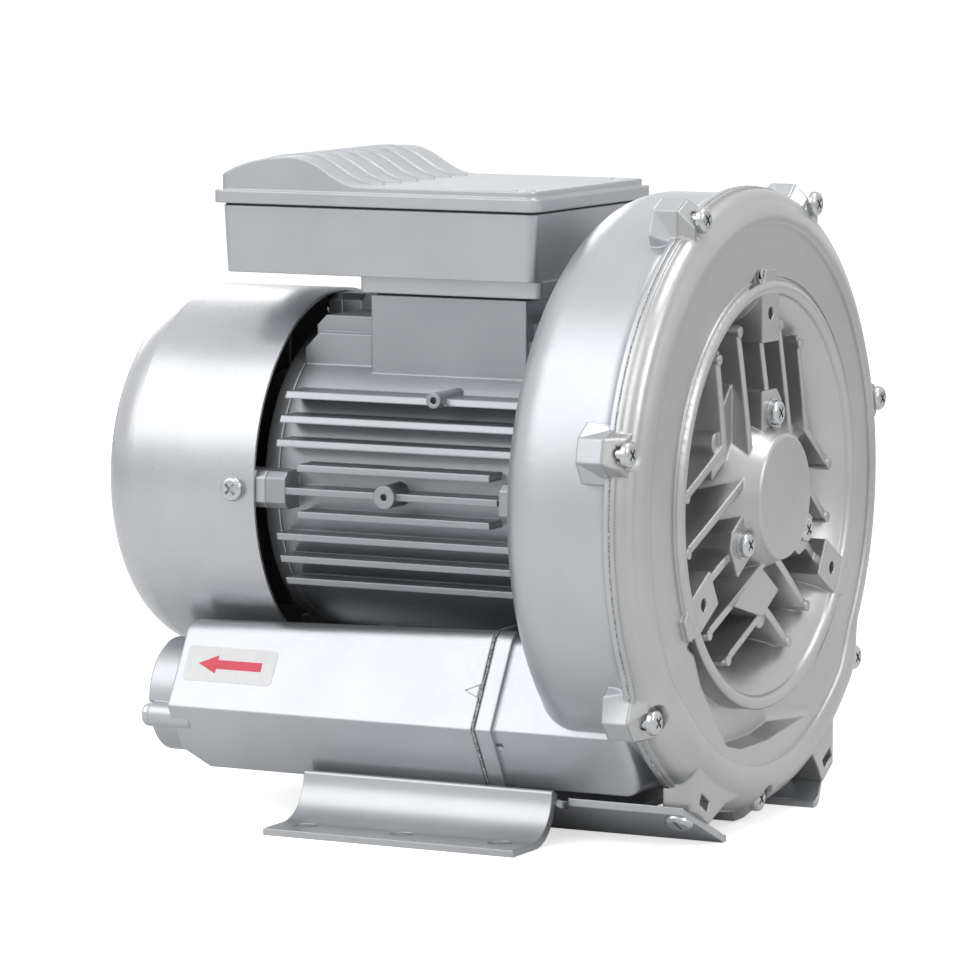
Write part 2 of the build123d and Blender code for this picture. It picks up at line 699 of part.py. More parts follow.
def cover_stripper():
    """The block that closes the front channel between the two ports."""
    outer = CHAMBER_R - TIP_GAP
    block = outline((VANE_ROOT_R - 1, 0), (outer, 0), (outer, LAND_FRONT), (VANE_ROOT_R - 1, LAND_FRONT))
    return revolve(SIDE_PLANE * block, axis=SHAFT_AXIS) & bottom_wedge(STRIPPER_HALF_ANGLE)


def cover_screws():
    length = LUG_SEAT + THREAD_DEPTH - 1
    return group([shaft_screw(SCREW_R, HEAD_R, HEAD_H, length, polar(radius, angle), -LUG_SEAT, -1)
                  for radius, angle in LUG_PLACES])


def bearing_retainer():
    """Ring behind the cover that holds the front bearing in its seat."""
    body = ring(BEARING_OUT_R - RACE_T, RETAINER_R, RETAINER_FRONT, RETAINER_BACK)
    for angle in SECTOR_ANGLES:
        body -= prism(at_angle(RETAINER_SCREW_R, angle) * Circle(TAP_R), RETAINER_FRONT - 1, RETAINER_BACK + 1)
    return body


def retainer_washers():
    front = -RETAINER_BOSS_RISE - WASHER_T
    return group([prism(at_angle(RETAINER_SCREW_R, angle) * (Circle(WASHER_R) - Circle(CLEAR_R)),
                        front, -RETAINER_BOSS_RISE) for angle in SECTOR_ANGLES])


def retainer_screws():
    seat = -RETAINER_BOSS_RISE - WASHER_T
    return group([shaft_screw(SCREW_R, HEAD_R, HEAD_H, RETAINER_BACK - seat, polar(RETAINER_SCREW_R, angle),
                              seat, -1) for angle in SECTOR_ANGLES])


# ---------------------------------------------------------------- bearings and shaft
def ball_circle():
    return (BEARING_OUT_R + BEARING_BORE_R) / 2


def ball_groove(s):
    """The round groove that the balls run in, as one ring."""
    middle = s + BEARING_WIDTH / 2
    ring_section = Pos(ball_circle(), middle) * Circle(BALL_R + BALL_GAP)
    return revolve(SIDE_PLANE * ring_section, axis=SHAFT_AXIS)


def bearing_outer(s):
    return ring(BEARING_OUT_R - RACE_T, BEARING_OUT_R - FIT, s, s + BEARING_WIDTH) - ball_groove(s)


def bearing_inner(s):
    return ring(BEARING_BORE_R, BEARING_BORE_R + RACE_T, s, s + BEARING_WIDTH) - ball_groove(s)


def bearing_balls(s):
    middle = s + BEARING_WIDTH / 2
    balls = []
    for i in range(BALL_COUNT):
        x, z = polar(ball_circle(), 360 / BALL_COUNT * i)
        balls.append(Pos(x, JOINT_Y + middle, AXIS_H + z) * Sphere(BALL_R))
    return group(balls)


def shaft():
    seat = BEARING_BORE_R - SHAFT_FIT
    body = turned(
        (0, SHAFT_FRONT), (seat - 0.5, SHAFT_FRONT), (seat, SHAFT_FRONT + 0.5),
        (seat, FRONT_BEARING + BEARING_WIDTH), (IMPELLER_SEAT_R, FRONT_BEARING + BEARING_WIDTH),
        (IMPELLER_SEAT_R, HUB_END), (SHAFT_BODY_R, HUB_END), (SHAFT_BODY_R, REAR_BEARING),
        (seat, REAR_BEARING), (seat, REAR_BEARING + BEARING_WIDTH + 1), (FAN_SEAT_R, REAR_BEARING + BEARING_WIDTH + 1),
        (FAN_SEAT_R, SHAFT_END - 0.5), (FAN_SEAT_R - 0.5, SHAFT_END), (0, SHAFT_END))
    body -= ring(IMPELLER_SEAT_R - 0.8, IMPELLER_SEAT_R + 1, HUB_START - CLIP_T, HUB_START)
    clip_s = FAN_START + FAN_HUB_L
    body -= ring(FAN_SEAT_R - 0.6, FAN_SEAT_R + 1, clip_s, clip_s + CLIP_T)
    return body - key_space()


def key_space():
    """The key seat shared by shaft and impeller."""
    middle = (HUB_START + HUB_END) / 2
    box = Box(KEY_SIZE, KEY_LENGTH, KEY_SIZE)
    return Pos(0, JOINT_Y + middle, AXIS_H + IMPELLER_SEAT_R) * box


def impeller_key():
    middle = (HUB_START + HUB_END) / 2
    size = KEY_SIZE - 2 * SHAFT_FIT
    return Pos(0, JOINT_Y + middle, AXIS_H + IMPELLER_SEAT_R) * Box(size, KEY_LENGTH - 2 * SHAFT_FIT, size)


def retaining_clip(groove_r, outer_r, s):
    """Open retaining ring, lying in its shaft groove."""
    clip = ring(groove_r, outer_r, s + SHAFT_FIT, s + CLIP_T - SHAFT_FIT)
    mouth = prism(Pos(0, -outer_r) * Rectangle(groove_r, 2 * outer_r), s - 1, s + CLIP_T + 1)
    return clip - mouth


def impeller_clip():
    return retaining_clip(IMPELLER_SEAT_R - 0.8 + SHAFT_FIT, IMPELLER_SEAT_R + 3.5, HUB_START - CLIP_T)


def fan_clip():
    return retaining_clip(FAN_SEAT_R - 0.6 + SHAFT_FIT, FAN_SEAT_R + 2.8, FAN_START + FAN_HUB_L)


def impeller():
    """Side-channel impeller: a dished disc with a ring of vanes on each side of a tapered web."""
    middle = (IMPELLER_FRONT + IMPELLER_BACK) / 2
    half_web = WEB_THICKNESS / 2
    rim_start = VANE_ROOT_R - LAND_WIDTH * 0.55
    disc = middle - half_web
    body = turned(
        (IMPELLER_SEAT_R + SHAFT_FIT, HUB_START), (HUB_R, HUB_START), (HUB_R, disc),
        (LAND_IN_R, disc), (rim_start, IMPELLER_FRONT), (VANE_ROOT_R, IMPELLER_FRONT),
        (VANE_TIP_R - VANE_LENGTH / 3, middle - WEB_PEAK / 2), (VANE_TIP_R, middle - WEB_PEAK / 2),
        (VANE_TIP_R, middle + WEB_PEAK / 2), (VANE_TIP_R - VANE_LENGTH / 3, middle + WEB_PEAK / 2),
        (VANE_ROOT_R, IMPELLER_BACK), (rim_start, IMPELLER_BACK), (LAND_IN_R, disc + WEB_THICKNESS),
        (HUB_R, disc + WEB_THICKNESS), (HUB_R, HUB_END), (IMPELLER_SEAT_R + SHAFT_FIT, HUB_END))
    blank = Pos(0, VANE_TIP_R - VANE_LENGTH / 2) * Rectangle(VANE_THICKNESS, VANE_LENGTH + 1)
    vane = prism(blank, IMPELLER_FRONT, IMPELLER_BACK)
    keep = ring(VANE_ROOT_R - 1, VANE_TIP_R, IMPELLER_FRONT, IMPELLER_BACK)
    vanes = [around(vane & keep, 360 / VANE_COUNT * i) for i in range(VANE_COUNT)]
    return body + vanes - key_space()


def shaft_seal():
    """Radial shaft seal in the wall between the chamber and the motor."""
    lip = SHAFT_BODY_R + SEAL_LIP_GAP
    return turned(
        (SEAL_R - FIT, SEAL_START), (SEAL_R - FIT, SEAL_END), (SEAL_R - 2.2, SEAL_END),
        (SEAL_R - 2.2, SEAL_START + 2), (lip + 2, SEAL_START + 2), (lip + 1.6, SEAL_END - 0.8),
        (lip, SEAL_END - 1.4), (lip + 1, SEAL_START))


def rotor_core():
    """Laminated rotor with its two short-circuit rings."""
    body = ring(SHAFT_BODY_R, ROTOR_R, CORE_START, CORE_END)
    for s0, s1 in ((CORE_START - 7, CORE_START), (CORE_END, CORE_END + 7)):
        body += ring(ROTOR_R - 12, ROTOR_R - 2, s0, s1)
    return body


def cooling_fan():
    disc_s = FAN_START + FAN_HUB_L - FAN_DISC_T - 6
    hub = ring(FAN_SEAT_R + SHAFT_FIT, FAN_HUB_R, FAN_START, FAN_START + FAN_HUB_L)
    disc = ring(FAN_HUB_R - 1, FAN_R * 0.72, disc_s, disc_s + FAN_DISC_T)
    blade_shape = Pos(0, (FAN_HUB_R + FAN_R) / 2 - 1) * Rectangle(2, FAN_R - FAN_HUB_R)
    blade = prism(blade_shape, disc_s, disc_s + FAN_BLADE_W)
    blades = [around(blade, 360 / FAN_BLADES * i) for i in range(FAN_BLADES)]
    return hub + disc + blades


def wave_washer():
    """Preload washer behind the rear bearing's outer ring, drawn flat as when compressed."""
    s = REAR_BEARING + BEARING_WIDTH
    return ring(BEARING_OUT_R - RACE_T + 0.3, BEARING_OUT_R - 0.3, s, s + 1)


# ---------------------------------------------------------------- motor
def motor_lug(s0, s1):
    """One screw lug of the motor, at the top; the same block on casing, frame and shield."""
    root = FRAME_BORE_R + FRAME_WALL / 2
    half = LUG_SPAN / 2
    block = polygon((-half, root), (half, root), (half, MOTOR_LUG_R - 2.5), (half - 2.5, MOTOR_LUG_R),
                    (-half + 2.5, MOTOR_LUG_R), (-half, MOTOR_LUG_R - 2.5))
    return prism(block, s0, s1)


def side_fins():
    """The horizontal cooling fins on both sides of the frame."""
    envelope = Circle(FIN_R)
    solid = None
    for row in range(-FIN_ROWS, FIN_ROWS + 1):
        inset = SHORT_FIN_INSET if abs(row) == 1 else FIN_INSET
        if row == 0:
            inset = MOTOR_LUG_L
        strip = Pos(0, row * FIN_PITCH) * Rectangle(2 * FIN_R, FIN_T) & envelope
        fins = prism(strip, FRAME_START + inset, FRAME_END - inset)
        solid = fins if solid is None else solid + fins
    return solid


def pedestal():
    """The block that carries the terminal box, with the stepped shoulders at its ends."""
    low = 0.6 * FRAME_R
    block = Pos(0, (low + PEDESTAL_TOP - AXIS_H) / 2) * Rectangle(2 * PEDESTAL_HALF, PEDESTAL_TOP - AXIS_H - low)
    body = prism(block, PEDESTAL_START, PEDESTAL_END)
    for half, top, end, cut in (
            (SHOULDER_HALF, SHOULDER_TOP, FRAME_END, SHOULDER_CUT),
            (UPPER_SHOULDER_HALF, UPPER_SHOULDER_TOP, FRAME_END - UPPER_SHOULDER_SETBACK, UPPER_SHOULDER_CUT)):
        slab = Pos(0, (low + top - AXIS_H) / 2) * Rectangle(2 * half, top - AXIS_H - low)
        shoulder = prism(slab, FRAME_START + MOTOR_LUG_L, end)
        edge = shoulder.edges().filter_by(Axis.X).sort_by(Axis.Z)[-2:]
        body += chamfer(edge.sort_by(Axis.Y)[-1:], cut)
    return body


def frame_post(side, radius, end_x, s, z):
    """A round post on the side of the frame, tapped at its end."""
    root_x = math.sqrt(FRAME_R ** 2 - z ** 2) - 2
    length = end_x - root_x
    aim = Plane(origin=(side * (root_x + length / 2), JOINT_Y + s, AXIS_H + z), z_dir=(side, 0, 0))
    tip = Plane(origin=(side * end_x, JOINT_Y + s, AXIS_H + z), z_dir=(side, 0, 0))
    return aim * Cylinder(radius, length), tip * Cylinder(POST_HOLE_R, 8)


def stator_frame():
    body = prism(Circle(FRAME_R), FRAME_START, FRAME_END)
    body += side_fins() + pedestal()
    for angle in MOTOR_LUG_ANGLES:
        body += around(motor_lug(FRAME_START, FRAME_START + MOTOR_LUG_L), angle)
        body += around(motor_lug(FRAME_END - MOTOR_LUG_L, FRAME_END), angle)
    holes = []
    for side in (-1, 1):
        for radius, end_x, s, z in ((POST_R, POST_END, POST_STATION, POST_Z),
                                    (MID_POST_R, MID_POST_END, MID_POST_STATION, 0)):
            post, hole = frame_post(side, radius, end_x, s, z)
            body += post
            holes.append(hole)
    for hole in holes:
        body -= hole
    body -= prism(Circle(FRAME_BORE_R), FRAME_START - 1, FRAME_END + 1)
    for angle in MOTOR_LUG_ANGLES:
        place = at_angle(MOTOR_LUG_SCREW_R, angle)
        body -= prism(place * Circle(CLEAR_R), FRAME_START - 1, FRAME_START + MOTOR_LUG_L + 1)
        body -= prism(place * Circle(HEAD_R - 0.4), FRAME_START + MOTOR_LUG_L - HEAD_H, FRAME_START + MOTOR_LUG_L + 1)
        body -= prism(place * Circle(TAP_R), FRAME_END - MOTOR_LUG_L + 1, FRAME_END + 1)
    wire_way = Pos(0, JOINT_Y + (PEDESTAL_START + PEDESTAL_END) / 2, PEDESTAL_TOP) * Box(44, 30, 60)
    return body - wire_way


def frame_screws():
    """Socket screws through the frame's front lugs, sunk into them."""
    seat = FRAME_START + MOTOR_LUG_L - HEAD_H
    screws = []
    for angle in MOTOR_LUG_ANGLES:
        x, z = polar(MOTOR_LUG_SCREW_R, angle)
        screws.append(shaft_screw(SCREW_R, HEAD_R - 0.6, HEAD_H, MOTOR_LUG_L - HEAD_H + FLANGE_H - 1, (x, z), seat, 1))
    return group(screws)


def stator_core():
    body = ring(ROTOR_R + AIR_GAP, FRAME_BORE_R, CORE_START, CORE_END)
    return body


def winding(s0, s1):
    """End turns of the winding, as one rounded ring."""
    inner = WINDING_R - WINDING_T
    ends = turned((inner, s0), (WINDING_R, s0), (WINDING_R, s1), (inner, s1))
    outer_edges = ends.edges().filter_by(GeomType.CIRCLE)
    far = outer_edges.sort_by(Axis.Y)
    edges = far[:2] if s0 < CORE_START else far[-2:]
    return fillet(edges, WINDING_T / 3)


def rear_shield():
    """Bearing shield at the fan end, with ears for the cowl screws."""
    seat_end = REAR_BEARING + BEARING_WIDTH + 1
    body = turned(
        (SHIELD_BOSS_R, REAR_BEARING - 2), (SHIELD_BOSS_R, FRAME_END), (FRAME_BORE_R - SPIGOT_T, FRAME_END),
        (FRAME_BORE_R - SPIGOT_T, FRAME_END - SPIGOT_L), (FRAME_BORE_R - FIT, FRAME_END - SPIGOT_L),
        (FRAME_BORE_R - FIT, FRAME_END), (FRAME_R, FRAME_END), (FRAME_R, FRAME_END + SHIELD_T),
        (SHIELD_BOSS_R, FRAME_END + SHIELD_T), (SHIELD_BOSS_R - 3, seat_end + 2), (FAN_SEAT_R + 2, seat_end + 2),
        (FAN_SEAT_R + 2, seat_end), (BEARING_OUT_R, seat_end), (BEARING_OUT_R, REAR_BEARING - 2))
    for angle in MOTOR_LUG_ANGLES:
        body += around(motor_lug(FRAME_END, FRAME_END + SHIELD_T), angle)
    for angle in COWL_SCREW_ANGLES:
        ear_end = COWL_SCREW + SCREW_R + BOSS_WALL + 1
        floor = MOTOR_LUG_SCREW_R - HEAD_R - 4
        ear = Pos(0, (floor + COWL_IN_R - FIT) / 2) * Rectangle(LUG_SPAN, COWL_IN_R - FIT - floor)
        lump = prism(ear & Circle(COWL_IN_R - FIT), FRAME_END + SHIELD_T - 1, ear_end)
        body += around(lump, angle)
    for angle in MOTOR_LUG_ANGLES:
        place = at_angle(MOTOR_LUG_SCREW_R, angle)
        body -= prism(place * Circle(CLEAR_R), FRAME_END - 1, FRAME_END + SHIELD_T + 1)
        body -= prism(place * Circle(HEAD_R + 0.3), FRAME_END + SHIELD_T, COWL_SCREW + 20)
    for angle in COWL_SCREW_ANGLES:
        aim = Plane(origin=(0, JOINT_Y + COWL_SCREW, AXIS_H), z_dir=(polar(1, angle)[0], 0, polar(1, angle)[1]))
        body -= aim * Pos(0, 0, COWL_R - 5) * Cylinder(TAP_R, 14)
    return body


def shield_screws():
    seat = FRAME_END + SHIELD_T
    return group([shaft_screw(SCREW_R, HEAD_R, HEAD_H, SHIELD_T + MOTOR_LUG_L - 2, polar(MOTOR_LUG_SCREW_R, angle),
                              seat, 1) for angle in MOTOR_LUG_ANGLES])


def cowl_slots():
    """Arc slots of the air inlet in the back of the cowl."""
    slots = []
    for row in range(SLOT_RINGS):
        radius = COWL_BACK_R - SLOT_W - row * SLOT_PITCH
        band = Circle(radius + SLOT_W / 2) - Circle(radius - SLOT_W / 2)
        bridges = Rectangle(2 * COWL_R, SLOT_BRIDGE) + Rectangle(SLOT_BRIDGE, 2 * COWL_R)
        turn = 45 * (row % 2)
        slots.append(band - Rot(0, 0, turn) * bridges)
    return prism(Sketch() + slots, COWL_END - 3 * COWL_T, COWL_END + 1)


def fan_cowl():
    shoulder = (COWL_BACK_R + (COWL_R - COWL_BACK_R) * 0.74, COWL_SHOULDER + (COWL_END - COWL_SHOULDER) * 0.66)
    back = COWL_END - COWL_T
    inside = (COWL_BACK_R + (COWL_IN_R - COWL_BACK_R) * 0.7, COWL_SHOULDER + (back - COWL_SHOULDER) * 0.64)
    body = turned(
        (COWL_R, COWL_START), (COWL_R, COWL_SHOULDER), (shoulder, (COWL_BACK_R, COWL_END)), (0, COWL_END),
        (0, back), (COWL_BACK_R, back), (inside, (COWL_IN_R, COWL_SHOULDER)), (COWL_IN_R, COWL_START))
    body -= cowl_slots()
    for angle in COWL_SCREW_ANGLES:
        aim = Plane(origin=(0, JOINT_Y + COWL_SCREW, AXIS_H), z_dir=(polar(1, angle)[0], 0, polar(1, angle)[1]))
        body -= aim * Pos(0, 0, COWL_R) * Cylinder(CLEAR_R, 8)
    return body


def cowl_screws():
    screws = []
    for angle in COWL_SCREW_ANGLES:
        x, z = polar(1, angle)
        seat = COWL_R + 0.05
        aim = Plane(origin=(x * seat, JOINT_Y + COWL_SCREW, AXIS_H + z * seat), z_dir=(x, 0, z))
        screws.append(aim * pan_screw(SCREW_R, HEAD_R, HEAD_H, 9))
    return group(screws)


# ---------------------------------------------------------------- terminal box
def box_block(half, start, end, low, high, corner):
    """A block with rounded upright corners, placed by station and absolute height."""
    middle = JOINT_Y + (start + end) / 2
    sketch = RectangleRounded(2 * half, end - start, corner)
    return extrude(Plane(origin=(0, middle, low)) * sketch, amount=high - low)


def pedestal_gasket():
    body = box_block(PEDESTAL_HALF - 1, PEDESTAL_START + 1, PEDESTAL_END - 1, PEDESTAL_TOP,
                     PEDESTAL_TOP + SEAT_GASKET_T, 2)
    return body - wire_hole(PEDESTAL_TOP - 1, PEDESTAL_TOP + 3)


def wire_hole(low, high):
    middle = JOINT_Y + (PEDESTAL_START + PEDESTAL_END) / 2
    return Pos(0, middle, (low + high) / 2) * Box(40, 26, high - low)


def terminal_box_base():
    """Open tray with drafted sides, and the neck that sits on the pedestal."""
    middle = JOINT_Y + (BOX_START + BOX_END) / 2
    length = BOX_END - BOX_START
    low = Plane(origin=(0, middle, BOX_BOTTOM)) * RectangleRounded(
        2 * (BOX_HALF - BOX_DRAFT), length - 2 * BOX_DRAFT, BOX_CORNER)
    high = Plane(origin=(0, middle, BOX_TOP)) * RectangleRounded(2 * BOX_HALF, length, BOX_CORNER)
    body = loft([low, high])
    inner_half = BOX_HALF - BOX_DRAFT - BOX_WALL
    body -= box_block(inner_half, BOX_START + BOX_DRAFT + BOX_WALL, BOX_END - BOX_DRAFT - BOX_WALL,
                      BOX_BOTTOM + BOX_WALL, BOX_TOP + 1, 2)
    body += box_block(NECK_HALF, NECK_START, NECK_END, PEDESTAL_TOP + SEAT_GASKET_T, BOX_BOTTOM, 3)
    for x, y in box_screw_places():
        body += Pos(x, y, (BOX_BOTTOM + BOX_TOP) / 2) * Cylinder(SCREW_R + BOSS_WALL, BOX_TOP - BOX_BOTTOM)
    for x, y in box_screw_places():
        body -= Pos(x, y, BOX_TOP) * Cylinder(BOX_SCREW_R + FIT, 2 * THREAD_DEPTH)
    return body - wire_hole(PEDESTAL_TOP, BOX_BOTTOM + BOX_WALL + 1)


def box_screw_places():
    """Lid screw places (x, y), inside the corners of the box."""
    inset = BOX_DRAFT + BOX_WALL + 3.4
    xs = (-(BOX_HALF - inset), BOX_HALF - inset)
    ys = (JOINT_Y + BOX_START + inset, JOINT_Y + BOX_END - inset)
    return [(x, y) for x in xs for y in ys]


def lid_gasket():
    outer = box_block(BOX_HALF - 0.4, BOX_START + 0.4, BOX_END - 0.4, BOX_TOP, LID_BOTTOM, BOX_CORNER)
    inner = box_block(BOX_HALF - BOX_WALL, BOX_START + BOX_WALL, BOX_END - BOX_WALL, BOX_TOP - 1, LID_BOTTOM + 1, 2)
    body = outer - inner
    for x, y in box_screw_places():
        body += Pos(x, y, (BOX_TOP + LID_BOTTOM) / 2) * Cylinder(SCREW_R + BOSS_WALL, LID_BOTTOM - BOX_TOP)
    for x, y in box_screw_places():
        body -= Pos(x, y, BOX_TOP) * Cylinder(BOX_SCREW_R + FIT, 10)
    return body


def lid_profile(lower, inset):
    """Side profile of the lid: flat front, an S-curve up to the hump, a rounded back."""
    front = BOX_START + inset
    back = BOX_END + 0.6 - inset
    low = LID_BOTTOM
    rise = Spline((HUMP_FOOT, LID_FLAT - lower), ((HUMP_FOOT + HUMP_CREST) / 2, (LID_FLAT + HUMP_TOP) / 2 - lower),
                  (HUMP_CREST, HUMP_TOP - lower), tangents=((1, 0), (1, 0)))
    fall = Spline((HUMP_CREST, HUMP_TOP - lower), (back, HUMP_BACK - lower), tangents=((1, 0), (1, -0.6)))
    lines = [Line((front, low), (front, LID_FLAT - lower)), Line((front, LID_FLAT - lower), (HUMP_FOOT, LID_FLAT - lower)),
             rise, fall, Line((back, HUMP_BACK - lower), (back, low)), Line((back, low), (front, low))]
    return make_face(lines)


def lid_slice(half, lower, inset):
    """The lid's profile, run across the machine."""
    across = Plane(origin=(0, JOINT_Y, 0), x_dir=(0, 1, 0), z_dir=(1, 0, 0))
    return extrude(across * lid_profile(lower, inset), amount=half, both=True)


def terminal_box_lid():
    body = lid_slice(BOX_HALF, 0, 0) & box_block(BOX_HALF, BOX_START, BOX_END + 0.6, LID_BOTTOM, HUMP_TOP + 5, BOX_CORNER)
    body += box_block(BOX_HALF + LIP_OUT, BOX_START - LIP_OUT, BOX_END + 0.6 + LIP_OUT, LID_BOTTOM,
                      LID_BOTTOM + LIP_H, BOX_CORNER)
    body -= lid_slice(BOX_HALF - BOX_WALL, BOX_WALL, BOX_WALL) - box_block(
        BOX_HALF + 5, BOX_START - 5, BOX_END + 5, LID_BOTTOM - 1, LID_BOTTOM, 1)
    pitch = 2 * BOX_HALF / (RIDGE_COUNT + 1)
    crest = box_block(BOX_HALF, HUMP_FOOT - 2, BOX_END - 8, LID_FLAT - 1, HUMP_TOP + 5, 1)
    ridge = (lid_slice(RIDGE_W / 2, -RIDGE_H, 0) - lid_slice(RIDGE_W, BOX_WALL / 2, 0)) & crest
    for i in range(1, RIDGE_COUNT + 1):
        body += Pos(-BOX_HALF + pitch * i, 0, 0) * ridge
    outer = lid_slice(BOX_HALF, 0, 0)
    for x, y in box_screw_places():
        body += Pos(x, y, (LID_BOTTOM + HUMP_TOP) / 2) * Cylinder(LID_HEAD_R + BOSS_WALL, HUMP_TOP - LID_BOTTOM) & outer
    for x, y in box_screw_places():
        body -= Pos(x, y, LID_BOTTOM) * Cylinder(BOX_SCREW_R + SCREW_CLEARANCE, 2 * (LID_FLAT - LID_BOTTOM))
        body -= Pos(x, y, LID_FLAT - LID_SCREW_SINK + 10) * Cylinder(LID_HEAD_R + HEAD_ROOM / 2, 20)
    return body


def lid_screws():
    screws = []
    for x, y in box_screw_places():
        length = LID_FLAT - LID_SCREW_SINK - BOX_TOP + THREAD_DEPTH - 1
        screw = pan_screw(BOX_SCREW_R, LID_HEAD_R, LID_SCREW_SINK, length)
        screws.append(Pos(x, y, LID_FLAT - LID_SCREW_SINK) * screw)
    return group(screws)


def terminal_block():
    """Six-way terminal board on the floor of the box."""
    floor = BOX_BOTTOM + BOX_WALL
    middle = JOINT_Y + PEDESTAL_END + 22
    body = Pos(0, middle, floor + 5) * Box(48, 26, 10)
    for i in range(3):
        for j in (-1, 1):
            body += Pos((i - 1) * 15, middle + j * 6.5, floor + 12) * Cylinder(1.9, 8)
    return body


def capacitor():
    """Motor capacitor lying in the box, across the front."""
    floor = BOX_BOTTOM + BOX_WALL
    aim = Plane(origin=(0, JOINT_Y + BOX_START + 20, floor + 10), z_dir=(1, 0, 0))
    return aim * Cylinder(10, 62)


# ---------------------------------------------------------------- silencers
def silencer(side):
    """One silencer tube: faceted outside, round inside, with the threaded port at its far end."""
    place = port_place(side)
    front = station(GASKET_END) * port_section(side, SILENCER_TOP)
    rear = station(SILENCER_END) * port_section(side, SILENCER_TOP - SILENCER_DRAFT)
    body = loft([front, rear])
    body -= prism(Circle(SILENCER_RELIEF_R), GASKET_END - 1, SILENCER_END + 1)
    cut = polygon((SILENCER_END - 1.4 * SILENCER_CHAMFER, PORT_Z - SILENCER_BOTTOM),
                  (SILENCER_END, PORT_Z - SILENCER_BOTTOM + SILENCER_CHAMFER),
                  (SILENCER_END + 5, PORT_Z - SILENCER_BOTTOM - 5))
    across = Plane(origin=(0, JOINT_Y, 0), x_dir=(0, 1, 0), z_dir=(1, 0, 0))
    body -= extrude(across * cut, amount=3 * PORT_X, both=True)
    body += prism(place * Circle(PORT_COLLAR_R), SILENCER_END - SILENCER_END_WALL, COLLAR_END)
    boss_end = SILENCER_END + TUBE_BOSS_LENGTH
    screw_places = [port_place(side, x, TUBE_SCREW_Z) for x in (-TUBE_SCREW_X, TUBE_SCREW_X)]
    for screw_place in screw_places:
        body += prism(screw_place * Circle(HEAD_R), SILENCER_END - SILENCER_END_WALL, boss_end)
    body += silencer_foot(side)
    body -= prism(place * Circle(SILENCER_BORE_R), GASKET_END - 1, COLLAR_END - PORT_THREAD_LENGTH)
    body -= prism(place * Circle(PORT_BORE_R), GASKET_END, COLLAR_END + 1)
    for screw_place in screw_places:
        body -= prism(screw_place * Circle(CLEAR_R), GASKET_END - 1, boss_end + 1)
        body -= prism(screw_place * Circle(HEAD_R + FIT), boss_end, COLLAR_END + 1)
    return body - foot_bolt_space(side, REAR_FOOT_STATION)


def silencer_foot(side):
    """Cast foot under a silencer, slanted to sit on the base plate's web."""
    drop = -AXIS_H
    high = PORT_Z - SILENCER_BOTTOM + 1
    foot = polygon(
        (side * FOOT_OUT_X, high + drop), (side * FOOT_OUT_X, web_height(FOOT_OUT_X) + drop),
        (side * FOOT_IN_X, web_height(FOOT_IN_X) + drop), (side * FOOT_IN_X, high + drop))
    return prism(foot, REAR_FOOT_STATION - REAR_FOOT_LENGTH / 2, REAR_FOOT_STATION + REAR_FOOT_LENGTH / 2)


def foot_bolt_space(side, s):
    """Tapped hole for a rear foot screw."""
    hole = Pos(0, 0, SHEET + REAR_THREAD / 2) * Cylinder(TAP_R, REAR_THREAD + SHEET)
    return foot_axis(side, s) * hole


def silencer_gasket(side):
    sheet = port_section(side, SILENCER_TOP) - port_place(side) * Circle(SILENCER_BORE_R)
    for x in (-TUBE_SCREW_X, TUBE_SCREW_X):
        sheet -= port_place(side, x, TUBE_SCREW_Z) * Circle(CLEAR_R)
    return prism(sheet - Circle(SILENCER_RELIEF_R), STUB_END, GASKET_END)


def silencer_foam(side):
    outer = SILENCER_BORE_R - FIT
    sleeve = port_place(side) * (Circle(outer) - Circle(outer - FOAM_THICKNESS))
    return prism(sleeve, GASKET_END, COLLAR_END - PORT_THREAD_LENGTH - 0.5)


def silencer_screws():
    """Long screws through the silencers, with their heads at the port end."""
    seat = SILENCER_END + TUBE_BOSS_LENGTH
    length = seat - STUB_END + THREAD_DEPTH - 1
    screws = []
    for side in (-1, 1):
        for x in (-TUBE_SCREW_X, TUBE_SCREW_X):
            place = (side * PORT_X + x, PORT_Z - AXIS_H + TUBE_SCREW_Z)
            screws.append(shaft_screw(SCREW_R, HEAD_R, HEAD_H, length, place, seat, 1))
    return group(screws)


# ---------------------------------------------------------------- base plate
def plate_side(side, wide):
    """Section of one side of the base plate, from its fold on the floor outwards."""
    slope = math.radians(WEB_ANGLE)
    rise = math.tan(slope)
    lift = SHEET / math.cos(slope)
    top_x = WEB_TOP_X if wide else ARM_TOP_X
    top_low = (top_x - FOLD_X) * rise
    inside = FOLD_X - (lift - SHEET) / rise
    if not wide:
        face = polygon((FOLD_X - SHEET, 0), (FOLD_X, 0), (top_x, top_low), (top_x, top_low + lift), (inside, SHEET),
                       (FOLD_X - SHEET, SHEET))
    else:
        crest = top_low + lift
        face = outline(
            (FOLD_X - SHEET, 0), (FOLD_X, 0), (top_x - SHEET * 0.4, top_low),
            ((top_x + 3, top_low * 0.34), (FLANGE_FOOT_X, 0)), (FLANGE_TIP_X, 0), (FLANGE_TIP_X, SHEET),
            (FLANGE_FOOT_X + 0.6, SHEET), ((top_x + 6.2, top_low * 0.34 + SHEET * 0.8), (top_x + 1.8, crest - 1.4)),
            ((top_x + 1.2, crest - 0.1), (top_x - 0.6, web_height(top_x - 0.6))), (inside, SHEET),
            (FOLD_X - SHEET, SHEET))
    if side < 0:
        face = face.mirror(Plane.YZ)
    return Pos(0, -AXIS_H) * face


